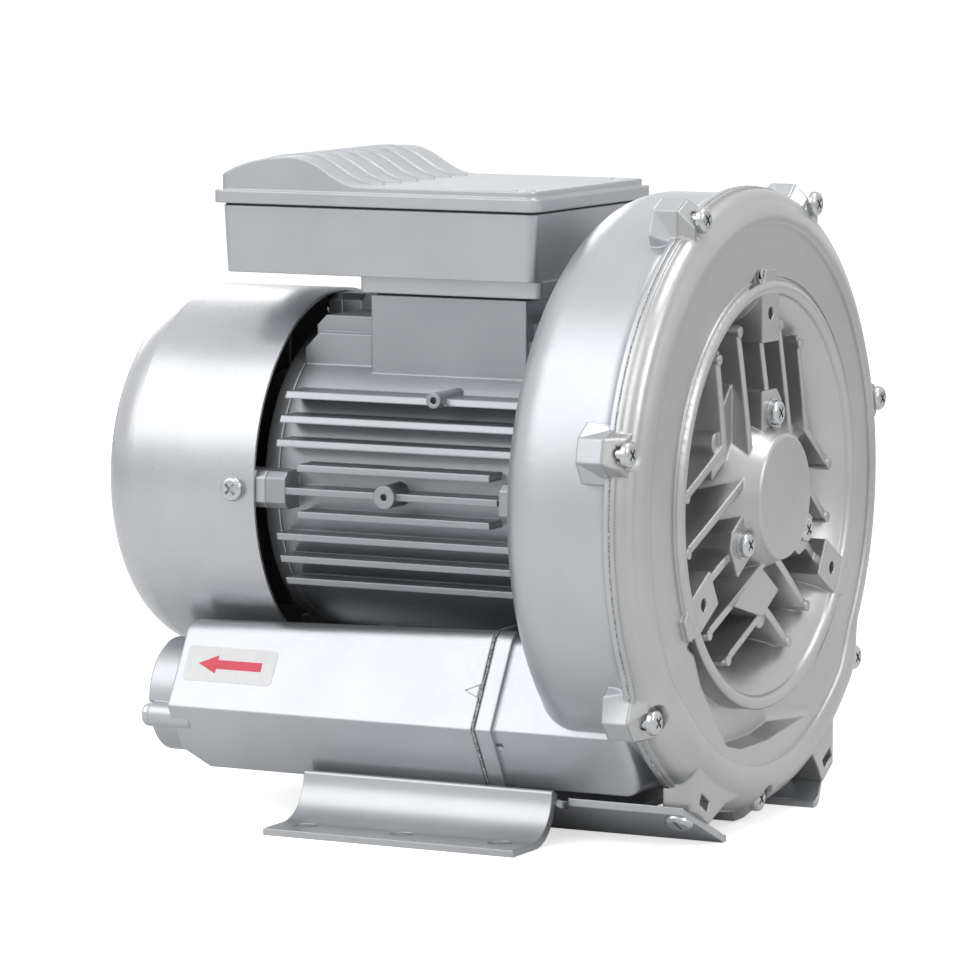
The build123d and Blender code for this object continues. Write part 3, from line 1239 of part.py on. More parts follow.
def base_plate():
    """One pressed sheet: slanted webs under the feet, floor between them at the back, flanges outside."""
    body = None
    for side in (-1, 1):
        arm = prism(plate_side(side, False), PLATE_FRONT, PLATE_WIDE_START + SHEET)
        rail = prism(plate_side(side, True), PLATE_WIDE_START, PLATE_END)
        body = arm + rail if body is None else body + arm + rail
    middle = JOINT_Y + (PLATE_WIDE_START + PLATE_END) / 2
    body += Pos(0, middle, SHEET / 2) * Box(2 * (FOLD_X - SHEET) + 0.2, PLATE_END - PLATE_WIDE_START, SHEET)
    for side in (-1, 1):
        for i in (-1, 0, 1):
            body -= Pos(side * FOOT_HOLE_X, i * FOOT_HOLE_PITCH, 0) * Cylinder(FOOT_HOLE_R, 20)
        for s in (FOOT_SCREW_STATION, REAR_FOOT_STATION):
            body -= foot_axis(side, s) * Cylinder(CLEAR_R, 12)
        body -= Pos(side * ARM_TOP_X, JOINT_Y + PLATE_WIDE_START, 15) * Cylinder(RELIEF_R, 30)
        front = JOINT_Y + PLATE_FRONT
        corner = polygon((side * (ARM_TOP_X + 1), front - 1), (side * (ARM_TOP_X + 1), JOINT_Y + ARM_CORNER),
                         (side * (FOLD_X + SHEET), front), (side * (FOLD_X + SHEET), front - 1))
        body -= extrude(corner, amount=30)
    return body


def foot_screw(side, s, length):
    """A screw up through the web, with a low wide head."""
    head = Pos(0, 0, -FOOT_HEAD_H / 2) * Cylinder(FOOT_HEAD_R, FOOT_HEAD_H)
    head = chamfer(head.edges().sort_by(Axis.Z)[:1], FOOT_HEAD_H / 2)
    head -= Pos(0, 0, -FOOT_HEAD_H) * Box(1.6, FOOT_HEAD_R * 1.6, 2)
    return foot_axis(side, s) * (head + Pos(0, 0, length / 2) * Cylinder(SCREW_R, length))


def foot_screws():
    front = SHEET + NUT_RAISE + NUT_H / 2 + 1
    screws = [foot_screw(side, FOOT_SCREW_STATION, front) for side in (-1, 1)]
    return group(screws + [foot_screw(side, REAR_FOOT_STATION, SHEET + REAR_THREAD - 1) for side in (-1, 1)])


def foot_nuts():
    """Hexagon nuts held in the slots of the cover's feet."""
    nuts = []
    for side in (-1, 1):
        sketch = RegularPolygon(NUT_FLATS / 2, 6, major_radius=False) - Circle(TAP_R)
        nut = extrude(Pos(0, 0, SHEET + NUT_RAISE - NUT_H / 2) * sketch, amount=NUT_H)
        nuts.append(foot_axis(side, FOOT_SCREW_STATION) * nut)
    return group(nuts)


# ---------------------------------------------------------------- write every sub-part
PARTS = {
    "blower_housing": blower_housing,
    "joint_seal": joint_seal,
    "blower_cover": blower_cover,
    "cover_screws": cover_screws,
    "bearing_retainer": bearing_retainer,
    "retainer_washers": retainer_washers,
    "retainer_screws": retainer_screws,
    "front_bearing_outer_ring": lambda: bearing_outer(FRONT_BEARING),
    "front_bearing_inner_ring": lambda: bearing_inner(FRONT_BEARING),
    "front_bearing_balls": lambda: bearing_balls(FRONT_BEARING),
    "rear_bearing_outer_ring": lambda: bearing_outer(REAR_BEARING),
    "rear_bearing_inner_ring": lambda: bearing_inner(REAR_BEARING),
    "rear_bearing_balls": lambda: bearing_balls(REAR_BEARING),
    "shaft": shaft,
    "impeller": impeller,
    "impeller_key": impeller_key,
    "impeller_clip": impeller_clip,
    "shaft_seal": shaft_seal,
    "rotor_core": rotor_core,
    "cooling_fan": cooling_fan,
    "fan_clip": fan_clip,
    "wave_washer": wave_washer,
    "stator_frame": stator_frame,
    "frame_screws": frame_screws,
    "stator_core": stator_core,
    "front_winding": lambda: winding(CORE_START - WINDING_L, CORE_START),
    "rear_winding": lambda: winding(CORE_END, CORE_END + WINDING_L),
    "rear_shield": rear_shield,
    "shield_screws": shield_screws,
    "fan_cowl": fan_cowl,
    "cowl_screws": cowl_screws,
    "pedestal_gasket": pedestal_gasket,
    "terminal_box_base": terminal_box_base,
    "lid_gasket": lid_gasket,
    "terminal_box_lid": terminal_box_lid,
    "lid_screws": lid_screws,
    "terminal_block": terminal_block,
    "capacitor": capacitor,
    "outlet_silencer": lambda: silencer(-1),
    "inlet_silencer": lambda: silencer(1),
    "outlet_gasket": lambda: silencer_gasket(-1),
    "inlet_gasket": lambda: silencer_gasket(1),
    "outlet_foam": lambda: silencer_foam(-1),
    "inlet_foam": lambda: silencer_foam(1),
    "silencer_screws": silencer_screws,
    "base_plate": base_plate,
    "foot_screws": foot_screws,
    "foot_nuts": foot_nuts,
}

for name, make in PARTS.items():
    shape = make()
    export_step(shape, f"parts/{name}.step")
    print(name, "written, volume", round(shape.volume), "mm3")
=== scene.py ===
# %% [markdown]
# # A side channel blower, dressed for the camera
# The metal pieces arrive as finished solids: a cast casing with a ribbed cover, a finned motor with a
# fan cowl, a terminal box, two silencers and a folded foot plate. This lesson gives each of them the
# finish that the real machine has, adds the small things that are printed, squeezed out or cut by a
# tap, and lights them. We load the solids first and never move them.

# %% Load the frame
import json
import math

import bmesh
import bpy
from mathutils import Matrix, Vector, noise


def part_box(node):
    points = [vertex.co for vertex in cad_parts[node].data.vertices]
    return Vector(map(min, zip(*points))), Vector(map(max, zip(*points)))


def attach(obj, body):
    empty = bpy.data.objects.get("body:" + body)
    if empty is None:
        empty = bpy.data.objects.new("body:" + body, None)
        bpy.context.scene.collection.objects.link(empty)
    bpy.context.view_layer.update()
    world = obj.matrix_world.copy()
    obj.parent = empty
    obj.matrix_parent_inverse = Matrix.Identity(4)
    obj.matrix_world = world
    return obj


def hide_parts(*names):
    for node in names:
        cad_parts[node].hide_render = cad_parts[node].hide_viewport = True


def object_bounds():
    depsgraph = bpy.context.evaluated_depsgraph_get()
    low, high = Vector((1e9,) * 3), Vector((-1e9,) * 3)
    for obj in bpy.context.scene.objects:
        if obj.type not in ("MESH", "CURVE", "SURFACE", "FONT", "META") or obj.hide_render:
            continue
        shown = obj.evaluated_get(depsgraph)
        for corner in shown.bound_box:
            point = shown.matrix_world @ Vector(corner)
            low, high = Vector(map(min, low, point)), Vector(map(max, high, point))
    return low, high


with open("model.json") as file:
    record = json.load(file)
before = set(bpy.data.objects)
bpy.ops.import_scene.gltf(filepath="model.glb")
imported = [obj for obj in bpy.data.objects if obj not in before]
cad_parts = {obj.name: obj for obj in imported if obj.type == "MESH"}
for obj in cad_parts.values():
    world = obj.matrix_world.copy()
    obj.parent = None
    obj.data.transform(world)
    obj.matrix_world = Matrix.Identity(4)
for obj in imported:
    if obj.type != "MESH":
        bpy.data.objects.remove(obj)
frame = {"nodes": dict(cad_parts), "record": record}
cad_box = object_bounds()
nodes = frame["nodes"]

# %% [markdown]
# ## Sizes that the added pieces share
# Everything we add sits on a solid, so its size and place come from that solid's box. Only what a
# maker would choose freely, such as the size of a sticker, is a number of its own.

# %% Named sizes, in metres
MM = 0.001
joint_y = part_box("joint_seal")[0].y
axis_z = (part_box("shaft")[0].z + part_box("shaft")[1].z) / 2
port_z = (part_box("outlet_foam")[0].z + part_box("outlet_foam")[1].z) / 2
port_x = (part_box("inlet_foam")[0].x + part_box("inlet_foam")[1].x) / 2
silencer_low, silencer_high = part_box("outlet_silencer")
silencer_half_width = (silencer_high.x - silencer_low.x) / 2
side_slope = math.radians(60)
print("shaft axis", round(axis_z, 4), "ports at", round(port_x, 4), round(port_z, 4))

# %% [markdown]
# ## Adding a piece
# Every piece we add needs the same three things: an object in the scene, a finish and a body to ride
# on. One function does them all, so none can be forgotten. All our pieces belong to the machine's fixed
# body, because nothing that we add turns with the rotor.


# %% Helpers for new pieces
def add_piece(name, data, material):
    """Put a mesh or a curve in the scene as a piece of the fixed body."""
    made = bpy.data.objects.new(name, data)
    bpy.context.scene.collection.objects.link(made)
    data.materials.append(material)
    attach(made, "machine")
    return made


def mesh_data(name, mesh):
    """Turn a bmesh into mesh data with its faces outward, and free it."""
    bmesh.ops.recalc_face_normals(mesh, faces=mesh.faces[:])
    data = bpy.data.meshes.new(name)
    mesh.to_mesh(data)
    mesh.free()
    return data


print("piece helpers ready")

# %% [markdown]
# ## A small language for materials
# A procedural material is a graph of nodes. Writing it link by link hides the idea, so we make one
# helper that starts a material and hands back its nodes, and small helpers for the parts that nearly
# every finish needs: noise at a size in metres, a colour ramp, and a bump.


# %% Material helpers
class Finish:
    """A new material with its shader, and short calls that add nodes to it."""

    def __init__(self, name, colour, metallic, roughness):
        self.material = bpy.data.materials.new(name)
        self.material.use_nodes = True
        self.tree = self.material.node_tree
        self.shader = self.tree.nodes["Principled BSDF"]
        self.shader.inputs["Base Color"].default_value = (*colour, 1)
        self.shader.inputs["Metallic"].default_value = metallic
        self.shader.inputs["Roughness"].default_value = roughness
        self.place = self.node("ShaderNodeTexCoord").outputs["Object"]

    def node(self, kind, **inputs):
        made = self.tree.nodes.new(kind)
        for name, value in inputs.items():
            made.inputs[name.replace("_", " ")].default_value = value
        return made

    def link(self, source, target):
        self.tree.links.new(source, target)
        return target

    def grain(self, size, detail=3.0, stretch=(1, 1, 1)):
        """Noise whose spots are about size metres across."""
        scaled = self.node("ShaderNodeMapping", Scale=stretch)
        self.link(self.place, scaled.inputs["Vector"])
        spots = self.node("ShaderNodeTexNoise", Scale=1 / size, Detail=detail, Roughness=0.55)
        self.link(scaled.outputs["Vector"], spots.inputs["Vector"])
        return spots.outputs["Fac"]

    def ramp(self, source, low, high, start=0.3, end=0.7):
        """A colour, or a grey value, that goes from low to high as the source does."""
        made = self.node("ShaderNodeValToRGB")
        made.color_ramp.elements[0].position = start
        made.color_ramp.elements[1].position = end
        for element, value in zip(made.color_ramp.elements, (low, high)):
            element.color = (*value, 1) if isinstance(value, tuple) else (value, value, value, 1)
        self.link(source, made.inputs["Fac"])
        return made.outputs["Color"]

    def colour(self, source):
        return self.link(source, self.shader.inputs["Base Color"])

    def roughness(self, source):
        return self.link(source, self.shader.inputs["Roughness"])

    def bump(self, *layers, rounding=0.0):
        """Each layer is a height source and its depth in metres; rounding softens hard edges."""
        normal = None
        if rounding:
            soft = self.node("ShaderNodeBevel", Radius=rounding)
            soft.samples = 6
            normal = soft.outputs["Normal"]
        for source, depth in layers:
            made = self.node("ShaderNodeBump", Strength=1.0, Distance=depth)
            self.link(source, made.inputs["Height"])
            if normal:
                self.link(normal, made.inputs["Normal"])
            normal = made.outputs["Normal"]
        self.link(normal, self.shader.inputs["Normal"])


print("material helpers ready")

# %% [markdown]
# ## Silver paint on a die casting
# The casing, the cover, the motor body and the box are aluminium castings under one coat of metallic
# paint. Three things tell the eye so: a satin gloss with a faint orange peel, a fine sparkle from the
# flakes, and edges that catch the light because a casting has no sharp ones. We could bevel the mesh,
# but a Bevel node rounds only the shading, and leaves the solid as it is. Faint patches where the
# paint lies thicker keep large faces from looking like plastic.


# %% Cast silver finishes
PATCH_SIZE, FLAKE_SIZE = 35 * MM, 0.9 * MM
PEEL_DEPTH, FLAKE_DEPTH = 0.05 * MM, 0.012 * MM


def shade(tint, share):
    """The same colour, lighter or darker."""
    return tuple(value * share for value in tint)


def silver_paint(name, tint, metallic, roughness, peel, rounding):
    """Metallic paint: tint is its colour, peel the size of the ripples in it."""
    made = Finish(name, tint, metallic, roughness)
    made.colour(made.ramp(made.grain(PATCH_SIZE), shade(tint, 0.93), tint, 0.30, 0.62))
    flakes = made.grain(FLAKE_SIZE, 2.0)
    made.roughness(made.ramp(flakes, roughness - 0.03, roughness + 0.05))
    ripples = made.grain(peel, 4.0)
    made.bump((ripples, PEEL_DEPTH), (flakes, FLAKE_DEPTH), rounding=rounding)
    return made.material


casting = silver_paint("cast_silver", (0.50, 0.515, 0.535), 0.82, 0.36, 0.0035, 0.0011)
cover_casting = silver_paint("cover_silver", (0.47, 0.473, 0.475), 0.84, 0.34, 0.0030, 0.0012)
# The motor body's darker tint is painted shade, for the shade that falls between its fins.
motor_painted_shade = silver_paint("motor_silver_painted_shade", (0.36, 0.375, 0.395), 0.80, 0.38, 0.0040, 0.0009)
print("cast finishes:", casting.name, cover_casting.name, motor_painted_shade.name)

# %% [markdown]
# ## The same paint on sheet metal
# The fan cowl and the foot plate are pressed from sheet. Sheet is flat and even, so the paint shows
# almost no orange peel and a little more gloss. The inside of the cowl gets painted shade, near black,
# which makes the gap around the motor read as a deep slot in shade: we give the cowl two materials
# and choose by face.

# %% Sheet finishes
sheet = silver_paint("sheet_silver", (0.52, 0.53, 0.55), 0.86, 0.30, 0.012, 0.0005)
plate = silver_paint("plate_silver", (0.47, 0.48, 0.495), 0.80, 0.33, 0.008, 0.0006)


def painted_shade_inside():
    """Near-black painted shade for the shaded inside of the cowl, with dust that settles in patches."""
    made = Finish("painted_shade_inside", (0.008, 0.008, 0.009), 0.0, 0.75)
    made.colour(made.ramp(made.grain(0.006), (0.006, 0.006, 0.007), (0.016, 0.016, 0.017)))
    made.bump((made.grain(0.0015), 0.00015))
    return made.material


# The near-black inside of the cowl is painted shade for the gap around the motor.
cowl_painted_shade = painted_shade_inside()
print("sheet finishes:", sheet.name, plate.name, cowl_painted_shade.name)

# %% [markdown]
# ## Bright steel: screws, bearings and the shaft
# Zinc-plated screws are smooth, but a head is formed cold, so it keeps faint dents. Bearing rings are
# ground: fine lines run round them. A turned shaft has coarser lines. We could write three materials,
# but all three are one function with other sizes, because they differ only in how long and how deep
# the lines are.


# %% Steel finishes
def steel(name, tint, roughness, line_size, line_depth, stretch):
    """Steel with fine lines: stretch squeezes the noise across them."""
    made = Finish(name, tint, 1.0, roughness)
    lines = made.grain(line_size, 2.0, stretch)
    made.colour(made.ramp(lines, shade(tint, 0.85), tint))
    made.roughness(made.ramp(made.grain(0.004), roughness - 0.06, roughness + 0.08))
    made.bump((lines, line_depth), rounding=0.0003)
    return made.material


zinc = steel("zinc_plate", (0.55, 0.56, 0.57), 0.24, 0.0030, 0.00002, (1, 1, 1))
ground = steel("ground_steel", (0.62, 0.62, 0.63), 0.18, 0.0040, 0.00002, (1, 12, 1))
turned = steel("turned_steel", (0.46, 0.46, 0.47), 0.30, 0.0050, 0.00005, (1, 18, 1))
print("steel finishes:", zinc.name, ground.name, turned.name)

# %% [markdown]
# ## Inner pieces
# Nobody sees the rotor until the cover comes off, but a model is turned round, opened and reused, so
# nothing may be left grey. Laminations are a stack of half-millimetre sheets: a wave along the shaft
# draws them. The winding is copper wire under amber varnish, so its wave runs round the shaft.


# %% Inner finishes
WAVE_SCALE = 0.314  # a wave texture repeats every 0.314 / Scale metres


def banded(name, dark, light, metallic, roughness, pitch, direction, depth):
    """Even bands, such as stacked sheets or laid wire, pitch metres apart."""
    made = Finish(name, light, metallic, roughness)
    bands = made.node("ShaderNodeTexWave", Scale=WAVE_SCALE / pitch, Distortion=0.6, Detail=1.0)
    if direction == "RINGS":
        bands.wave_type, bands.rings_direction = "RINGS", "Y"
    else:
        bands.wave_type, bands.bands_direction = "BANDS", direction
    made.link(made.place, bands.inputs["Vector"])
    made.colour(made.ramp(bands.outputs["Fac"], dark, light, 0.15, 0.55))
    made.bump((bands.outputs["Fac"], depth))
    return made.material


lamination = banded("laminations", (0.05, 0.052, 0.056), (0.26, 0.27, 0.29), 0.9, 0.45,
                    0.0006, "Y", 0.0001)
copper = banded("winding_wire", (0.16, 0.05, 0.018), (0.58, 0.23, 0.08), 0.75, 0.34,
                0.0011, "RINGS", 0.0003)


def cast_aluminium():
    """Bare casting: a grey skin with cold-shut marks and grain from the die."""
    made = Finish("bare_casting", (0.58, 0.59, 0.60), 0.92, 0.46)
    made.colour(made.ramp(made.grain(0.012), (0.44, 0.45, 0.46), (0.62, 0.63, 0.64)))
    made.roughness(made.ramp(made.grain(0.0018), 0.38, 0.58))
    made.bump((made.grain(0.0012), 0.00012), rounding=0.0006)
    return made.material


def moulding(name, tint, roughness, texture, depth):
    """Moulded plastic, rubber or foam: texture is the size of its surface, depth how rough it is."""
    made = Finish(name, tint, 0.0, roughness)
    surface = made.grain(texture, 4.0)
    made.colour(made.ramp(surface, shade(tint, 0.7), shade(tint, 1.2)))
    made.bump((surface, depth))
    return made.material


impeller_skin = cast_aluminium()
rubber = moulding("black_rubber", (0.022, 0.022, 0.024), 0.62, 0.0010, 0.00008)
foam = moulding("open_foam", (0.075, 0.075, 0.08), 0.95, 0.0022, 0.0007)
black_plastic = moulding("black_plastic", (0.028, 0.028, 0.031), 0.45, 0.0012, 0.00005)
can_plastic = moulding("capacitor_can", (0.60, 0.60, 0.56), 0.38, 0.0030, 0.00004)
print("inner finishes made")

# %% [markdown]
# ## Handing out the finishes
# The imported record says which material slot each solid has. A dictionary from slot to finish is
# enough, with a second one for the solids that differ from their slot.

# %% Give every solid its finish
finish_of_slot = {
    "cast_silver": casting,
    "cowl_paint": sheet,
    "plate_paint": plate,
    "screw_steel": zinc,
    "bright_steel": ground,
    "shaft_steel": turned,
    "impeller_cast": impeller_skin,
    "lamination": lamination,
    "winding": copper,
    "black_rubber": rubber,
    "foam": foam,
    "black_plastic": black_plastic,
    "can": can_plastic,
}
# The stator frame takes the darker motor tint: painted shade between its fins.
finish_of_node = {"blower_cover": cover_casting, "stator_frame": motor_painted_shade}

for row in frame["record"]["subparts"]:
    finish = finish_of_node.get(row["node"], finish_of_slot[row["material_slot"]])
    materials = nodes[row["node"]].data.materials
    materials.clear()
    materials.append(finish)

# %% [markdown]
# Two solids take a second finish on some of their faces. The cowl's inner faces look towards the shaft:
# for each face we compare the direction it faces with the direction to the shaft, and hand it the painted
# shade where they agree. The back wall's inner side faces forward, so it takes the painted shade as well.

# %% Painted shade on the inside of the cowl
COWL_RIM = 0.2 * MM
LOOKS_AT_SHAFT, LOOKS_FORWARD = -0.3, -0.6
cowl_front_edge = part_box("fan_cowl")[0].y + COWL_RIM


def repaint(node, material, chosen):
    """Give a second finish to the faces of a solid for which chosen(face) is true."""
    mesh = nodes[node].data
    mesh.materials.append(material)
    faces = [face for face in mesh.polygons if chosen(face)]
    for face in faces:
        face.material_index = len(mesh.materials) - 1
    print(node, "faces with a second finish:", len(faces))


def inside_cowl(face):
    outward = Vector((face.center.x, 0, face.center.z - axis_z)).normalized()
    looks_in = face.normal.dot(outward) < LOOKS_AT_SHAFT or face.normal.y < LOOKS_FORWARD
    return looks_in and face.center.y > cowl_front_edge


repaint("fan_cowl", cowl_painted_shade, inside_cowl)

# %% [markdown]
# ## The plain face of the terminal pedestal
# The motor body's finish is darker than the rest: painted shade, standing for the shade that falls
# between its fins. The pedestal that carries the terminal box is one casting with it, but it is plain,
# with no fins, so its faces take the lighter finish: we choose them by where they stand, under the
# gasket of the box.

# %% Lighter faces on the pedestal
PEDESTAL_FOOT = 40 * MM
pedestal_low, pedestal_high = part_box("pedestal_gasket")


def on_pedestal(face):
    inside_x = pedestal_low.x - MM < face.center.x < pedestal_high.x + MM
    inside_y = pedestal_low.y - MM < face.center.y < pedestal_high.y + MM
    return inside_x and inside_y and face.center.z > axis_z + PEDESTAL_FOOT


repaint("stator_frame", casting, on_pedestal)

# %% [markdown]
# ## The slim rim of the casing and cover
# On the real castings the rim is slimmer than the solids have it: the joint flange is a few millimetres
# smaller, and the cover falls back from its flat face in a shallower round. We may not bend a solid, so
# we copy its mesh into a new piece that stands for it, and move each point by its distance from the
# shaft and from the joint. The screw lugs stay as they are, so we first ask whether a point lies on the
# turned rim at all, and move only those that do.

# %% Sizes of the rim
# "Depth" is a distance from the joint, ahead of it on the cover and behind it on the casing.
FLANGE_WAS, FLANGE_IS = 118.0 * MM, 113.8 * MM        # radius of the joint flange
LIP_R, LIP_DEPTH = 116.9 * MM, 4.4 * MM               # the cover's lip, where its bulge starts
BULGE_MIDDLE = (112.2 * MM, 10.8 * MM)
CREST_R, CREST_DEPTH = 100.2 * MM, 12.6 * MM          # the top of the bulge, where it ends
FACE_WAS, FACE_IS = 11.6 * MM, 10.2 * MM              # depth of the flat face inside the bulge
DISH_RIM_R = 79.6 * MM
CASING_R, COVE_END = 111.2 * MM, 7.6 * MM             # where the casing's flange runs into its wall
FEET_TOP, RIM_START = 46 * MM, 66 * MM                # heights: as cast below one, slim above the other
ON_SURFACE = 0.15 * MM
SHARP_EDGE = math.radians(28)
WELD_DISTANCE = 0.002 * MM
# The share of its distance from the joint that a point keeps, by its distance from the shaft.
DEPTH_KEPT = [(CREST_R, 0.81), (112 * MM, 0.73), (116 * MM, 0.90), (FLANGE_WAS, 1.0)]


def circle_through(first, second, third):
    """Centre and radius of the circle through three points of a plane."""
    (ax, ay), (bx, by), (cx, cy) = first, second, third
    area = 2 * (ax * (by - cy) + bx * (cy - ay) + cx * (ay - by))
    a, b, c = ax * ax + ay * ay, bx * bx + by * by, cx * cx + cy * cy
    centre = Vector(((a * (by - cy) + b * (cy - ay) + c * (ay - by)) / area,
                     (a * (cx - bx) + b * (ax - cx) + c * (bx - ax)) / area))
    return centre, (centre - Vector(first)).length


bulge_centre, bulge_radius = circle_through((LIP_R, LIP_DEPTH), BULGE_MIDDLE, (CREST_R, CREST_DEPTH))
print("the bulge is an arc of radius", round(bulge_radius / MM, 2), "mm")

# %% [markdown]
# ### How a point of the rim moves
# The rim is turned, so a point is told by two numbers, its radius from the shaft and its depth from the
# joint. We scale the radius so that the old flange lands on the new one and the crest stays, and we
# keep a share of the depth. Near the feet the casting is as it was, so the move fades out there.


# %% The moves
def between(value, start, end):
    """0 before start, 1 after end, and smooth between them."""
    part = min(1.0, max(0.0, (value - start) / (end - start)))
    return part * part * (3 - 2 * part)


def along_steps(value, steps):
    """The height at value of a line through steps, a list of (place, height)."""
    for (start, low), (end, high) in zip(steps, steps[1:]):
        if value <= end:
            return low + (high - low) * max(0.0, (value - start) / (end - start))
    return steps[-1][1]


def moved_to(point, to_radius, to_depth):
    """The point at another radius from the shaft and depth ahead of the joint, at its own angle."""
    across = Vector((point.x, point.z - axis_z)).normalized() * to_radius
    return Vector((across.x, joint_y - to_depth, axis_z + across.y))


def scaled_radius(radius, fixed):
    """Scale a radius so that fixed stays where it is and the old flange lands on the new one."""
    return fixed + (radius - fixed) * (FLANGE_IS - fixed) / (FLANGE_WAS - fixed)


def slim_cover(point):
    """Pull the cover's rim in and lay its flat face back; the lugs, feet and dish stay."""
    depth, radius = joint_y - point.y, math.hypot(point.x, point.z - axis_z)
    on_bulge = abs((Vector((radius, depth)) - bulge_centre).length - bulge_radius) < ON_SURFACE
    from_walls = min(abs(radius - LIP_R), abs(radius - FLANGE_WAS))
    on_lip = depth < LIP_DEPTH + ON_SURFACE and from_walls < ON_SURFACE
    amount = between(point.z, FEET_TOP, RIM_START)
    if CREST_R - ON_SURFACE < radius and (on_lip or on_bulge or radius < CREST_R + ON_SURFACE):
        to_radius = radius + (scaled_radius(radius, CREST_R) - radius) * amount
        return moved_to(point, to_radius, depth * (1 + (along_steps(radius, DEPTH_KEPT) - 1) * amount))
    if DISH_RIM_R < radius <= CREST_R and abs(depth - FACE_WAS) < ON_SURFACE:
        return moved_to(point, radius, depth + (FACE_IS - FACE_WAS) * amount)
    return point.copy()


def slim_casing(point):
    """Pull in the joint flange of the casing; the lugs and the stubs stay."""
    depth, radius = point.y - joint_y, math.hypot(point.x, point.z - axis_z)
    lug_corner = depth < ON_SURFACE and abs(radius - FLANGE_WAS) > ON_SURFACE
    if depth > COVE_END or lug_corner or not CASING_R < radius <= FLANGE_WAS + ON_SURFACE:
        return point.copy()
    amount = between(point.z, FEET_TOP, RIM_START)
    return moved_to(point, radius + (scaled_radius(radius, CASING_R) - radius) * amount, -depth)


print("the flange goes from", round(FLANGE_WAS / MM, 1), "to", round(FLANGE_IS / MM, 1), "mm")

# %% [markdown]
# ### Building the copies
# We read the solid's mesh, weld its doubled points so that no seam opens, move the points and write a
# new mesh. Moved points leave the old shading wrong, so we mark the sharp edges again by angle, and
# weight the normals by face size, which keeps the flat faces flat to the eye.


# %% The slimmed castings
def slimmed(name, node, move, material):
    """A copy of a solid's mesh with its points moved; it stands for the solid."""
    mesh = bmesh.new()
    mesh.from_mesh(nodes[node].data)
    bmesh.ops.remove_doubles(mesh, verts=mesh.verts[:], dist=WELD_DISTANCE)
    corners = [tuple(move(vertex.co)) for vertex in mesh.verts]
    faces = [[vertex.index for vertex in face.verts] for face in mesh.faces]
    mesh.free()
    data = bpy.data.meshes.new(name)
    data.from_pydata(corners, [], faces)
    data.shade_smooth()
    data.set_sharp_from_angle(angle=SHARP_EDGE)
    made = add_piece(name, data, material)
    made.modifiers.new("even_shading", "WEIGHTED_NORMAL").keep_sharp = True
    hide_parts(node)
    print(name, "has", len(faces), "faces")


slimmed("cover_casting", "blower_cover", slim_cover, cover_casting)
slimmed("casing_casting", "blower_housing", slim_casing, casting)

# %% [markdown]
# ## The flow arrow
# A sticker with an arrow shows which way the air leaves. On the real machine it is a piece of white
# film, so we build it as film: a thin sheet with rounded corners, laid on the sloping side of the
# silencer, with the arrow as a second, thinner sheet of ink on top. A texture would need an image,
# and a decal plane without thickness would flicker; a sheet 0.15 mm thick does neither.


# %% Helpers for thin sheets on the silencer's side
def slope_place(side, along, up, lift=0.0):
    """A point on the sloping side of a silencer: along is Y, up is measured from the crease."""
    x = silencer_half_width - up * math.cos(side_slope) + lift * math.sin(side_slope)
    z = port_z + up * math.sin(side_slope) + lift * math.cos(side_slope)
    return Vector((side * (port_x + x), along, z))


def rounded_outline(along, up, length, height, corner, steps=6):
    """Corners of a rectangle with round corners, as (along, up) pairs."""
    points = []
    for index, (ca, cu) in enumerate(((1, 1), (-1, 1), (-1, -1), (1, -1))):
        for step in range(steps + 1):
            turn = math.radians(90 * index + 90 * step / steps)
            points.append((along + ca * (length / 2 - corner) + corner * math.cos(turn),
                           up + cu * (height / 2 - corner) + corner * math.sin(turn)))
    return points


def thin_sheet(name, outline, side, low, high, material):
    """A closed sheet over an outline, from low to high above the silencer's side."""
    mesh = bmesh.new()
    rings = [[mesh.verts.new(slope_place(side, along, up, lift)) for along, up in outline]
             for lift in (low, high)]
    mesh.faces.new(rings[1])
    mesh.faces.new(list(reversed(rings[0])))
    for here in range(len(outline)):
        after = (here + 1) % len(outline)
        mesh.faces.new((rings[0][here], rings[0][after], rings[1][after], rings[1][here]))
    add_piece(name, mesh_data(name, mesh), material)


def film(name, tint, roughness):
    """Printed film: nearly even, with faint fibres and a soft sheen."""
    made = Finish(name, tint, 0.0, roughness)
    made.colour(made.ramp(made.grain(0.004), shade(tint, 0.94), tint))
    made.bump((made.grain(0.0008), 0.00002))
    return made.material


print("sheet helpers ready")

# %% [markdown]
# The sticker sits near the free end of the silencer, where a fitter looks for it. The arrow points to
# that end, since the air leaves there. Its outline is seven corners, worked out from four sizes.

# %% The sticker and its arrow
STICKER_LENGTH, STICKER_HEIGHT, STICKER_CORNER = 38 * MM, 14 * MM, 1.6 * MM
STICKER_FROM_END, STICKER_UP = 22 * MM, 17.8 * MM
ARROW_LENGTH, ARROW_SHAFT, ARROW_HEAD, ARROW_HEAD_LENGTH = 27 * MM, 3.6 * MM, 7.4 * MM, 8 * MM
FILM, INK = 0.15 * MM, 0.06 * MM
COLLAR_LENGTH = 13 * MM

silencer_body_end = silencer_high.y - COLLAR_LENGTH
sticker_y = silencer_body_end - STICKER_FROM_END
tip = sticker_y + ARROW_LENGTH / 2
neck = tip - ARROW_HEAD_LENGTH
tail = tip - ARROW_LENGTH
arrow = [(tip, STICKER_UP), (neck, STICKER_UP + ARROW_HEAD / 2), (neck, STICKER_UP + ARROW_SHAFT / 2),
         (tail, STICKER_UP + ARROW_SHAFT / 2), (tail, STICKER_UP - ARROW_SHAFT / 2),
         (neck, STICKER_UP - ARROW_SHAFT / 2), (neck, STICKER_UP - ARROW_HEAD / 2)]
outline = rounded_outline(sticker_y, STICKER_UP, STICKER_LENGTH, STICKER_HEIGHT, STICKER_CORNER)
white_film = film("white_film", (0.86, 0.86, 0.87), 0.42)
red_ink = film("red_ink", (0.78, 0.075, 0.13), 0.45)
thin_sheet("flow_sticker", outline, -1, 0.0, FILM, white_film)
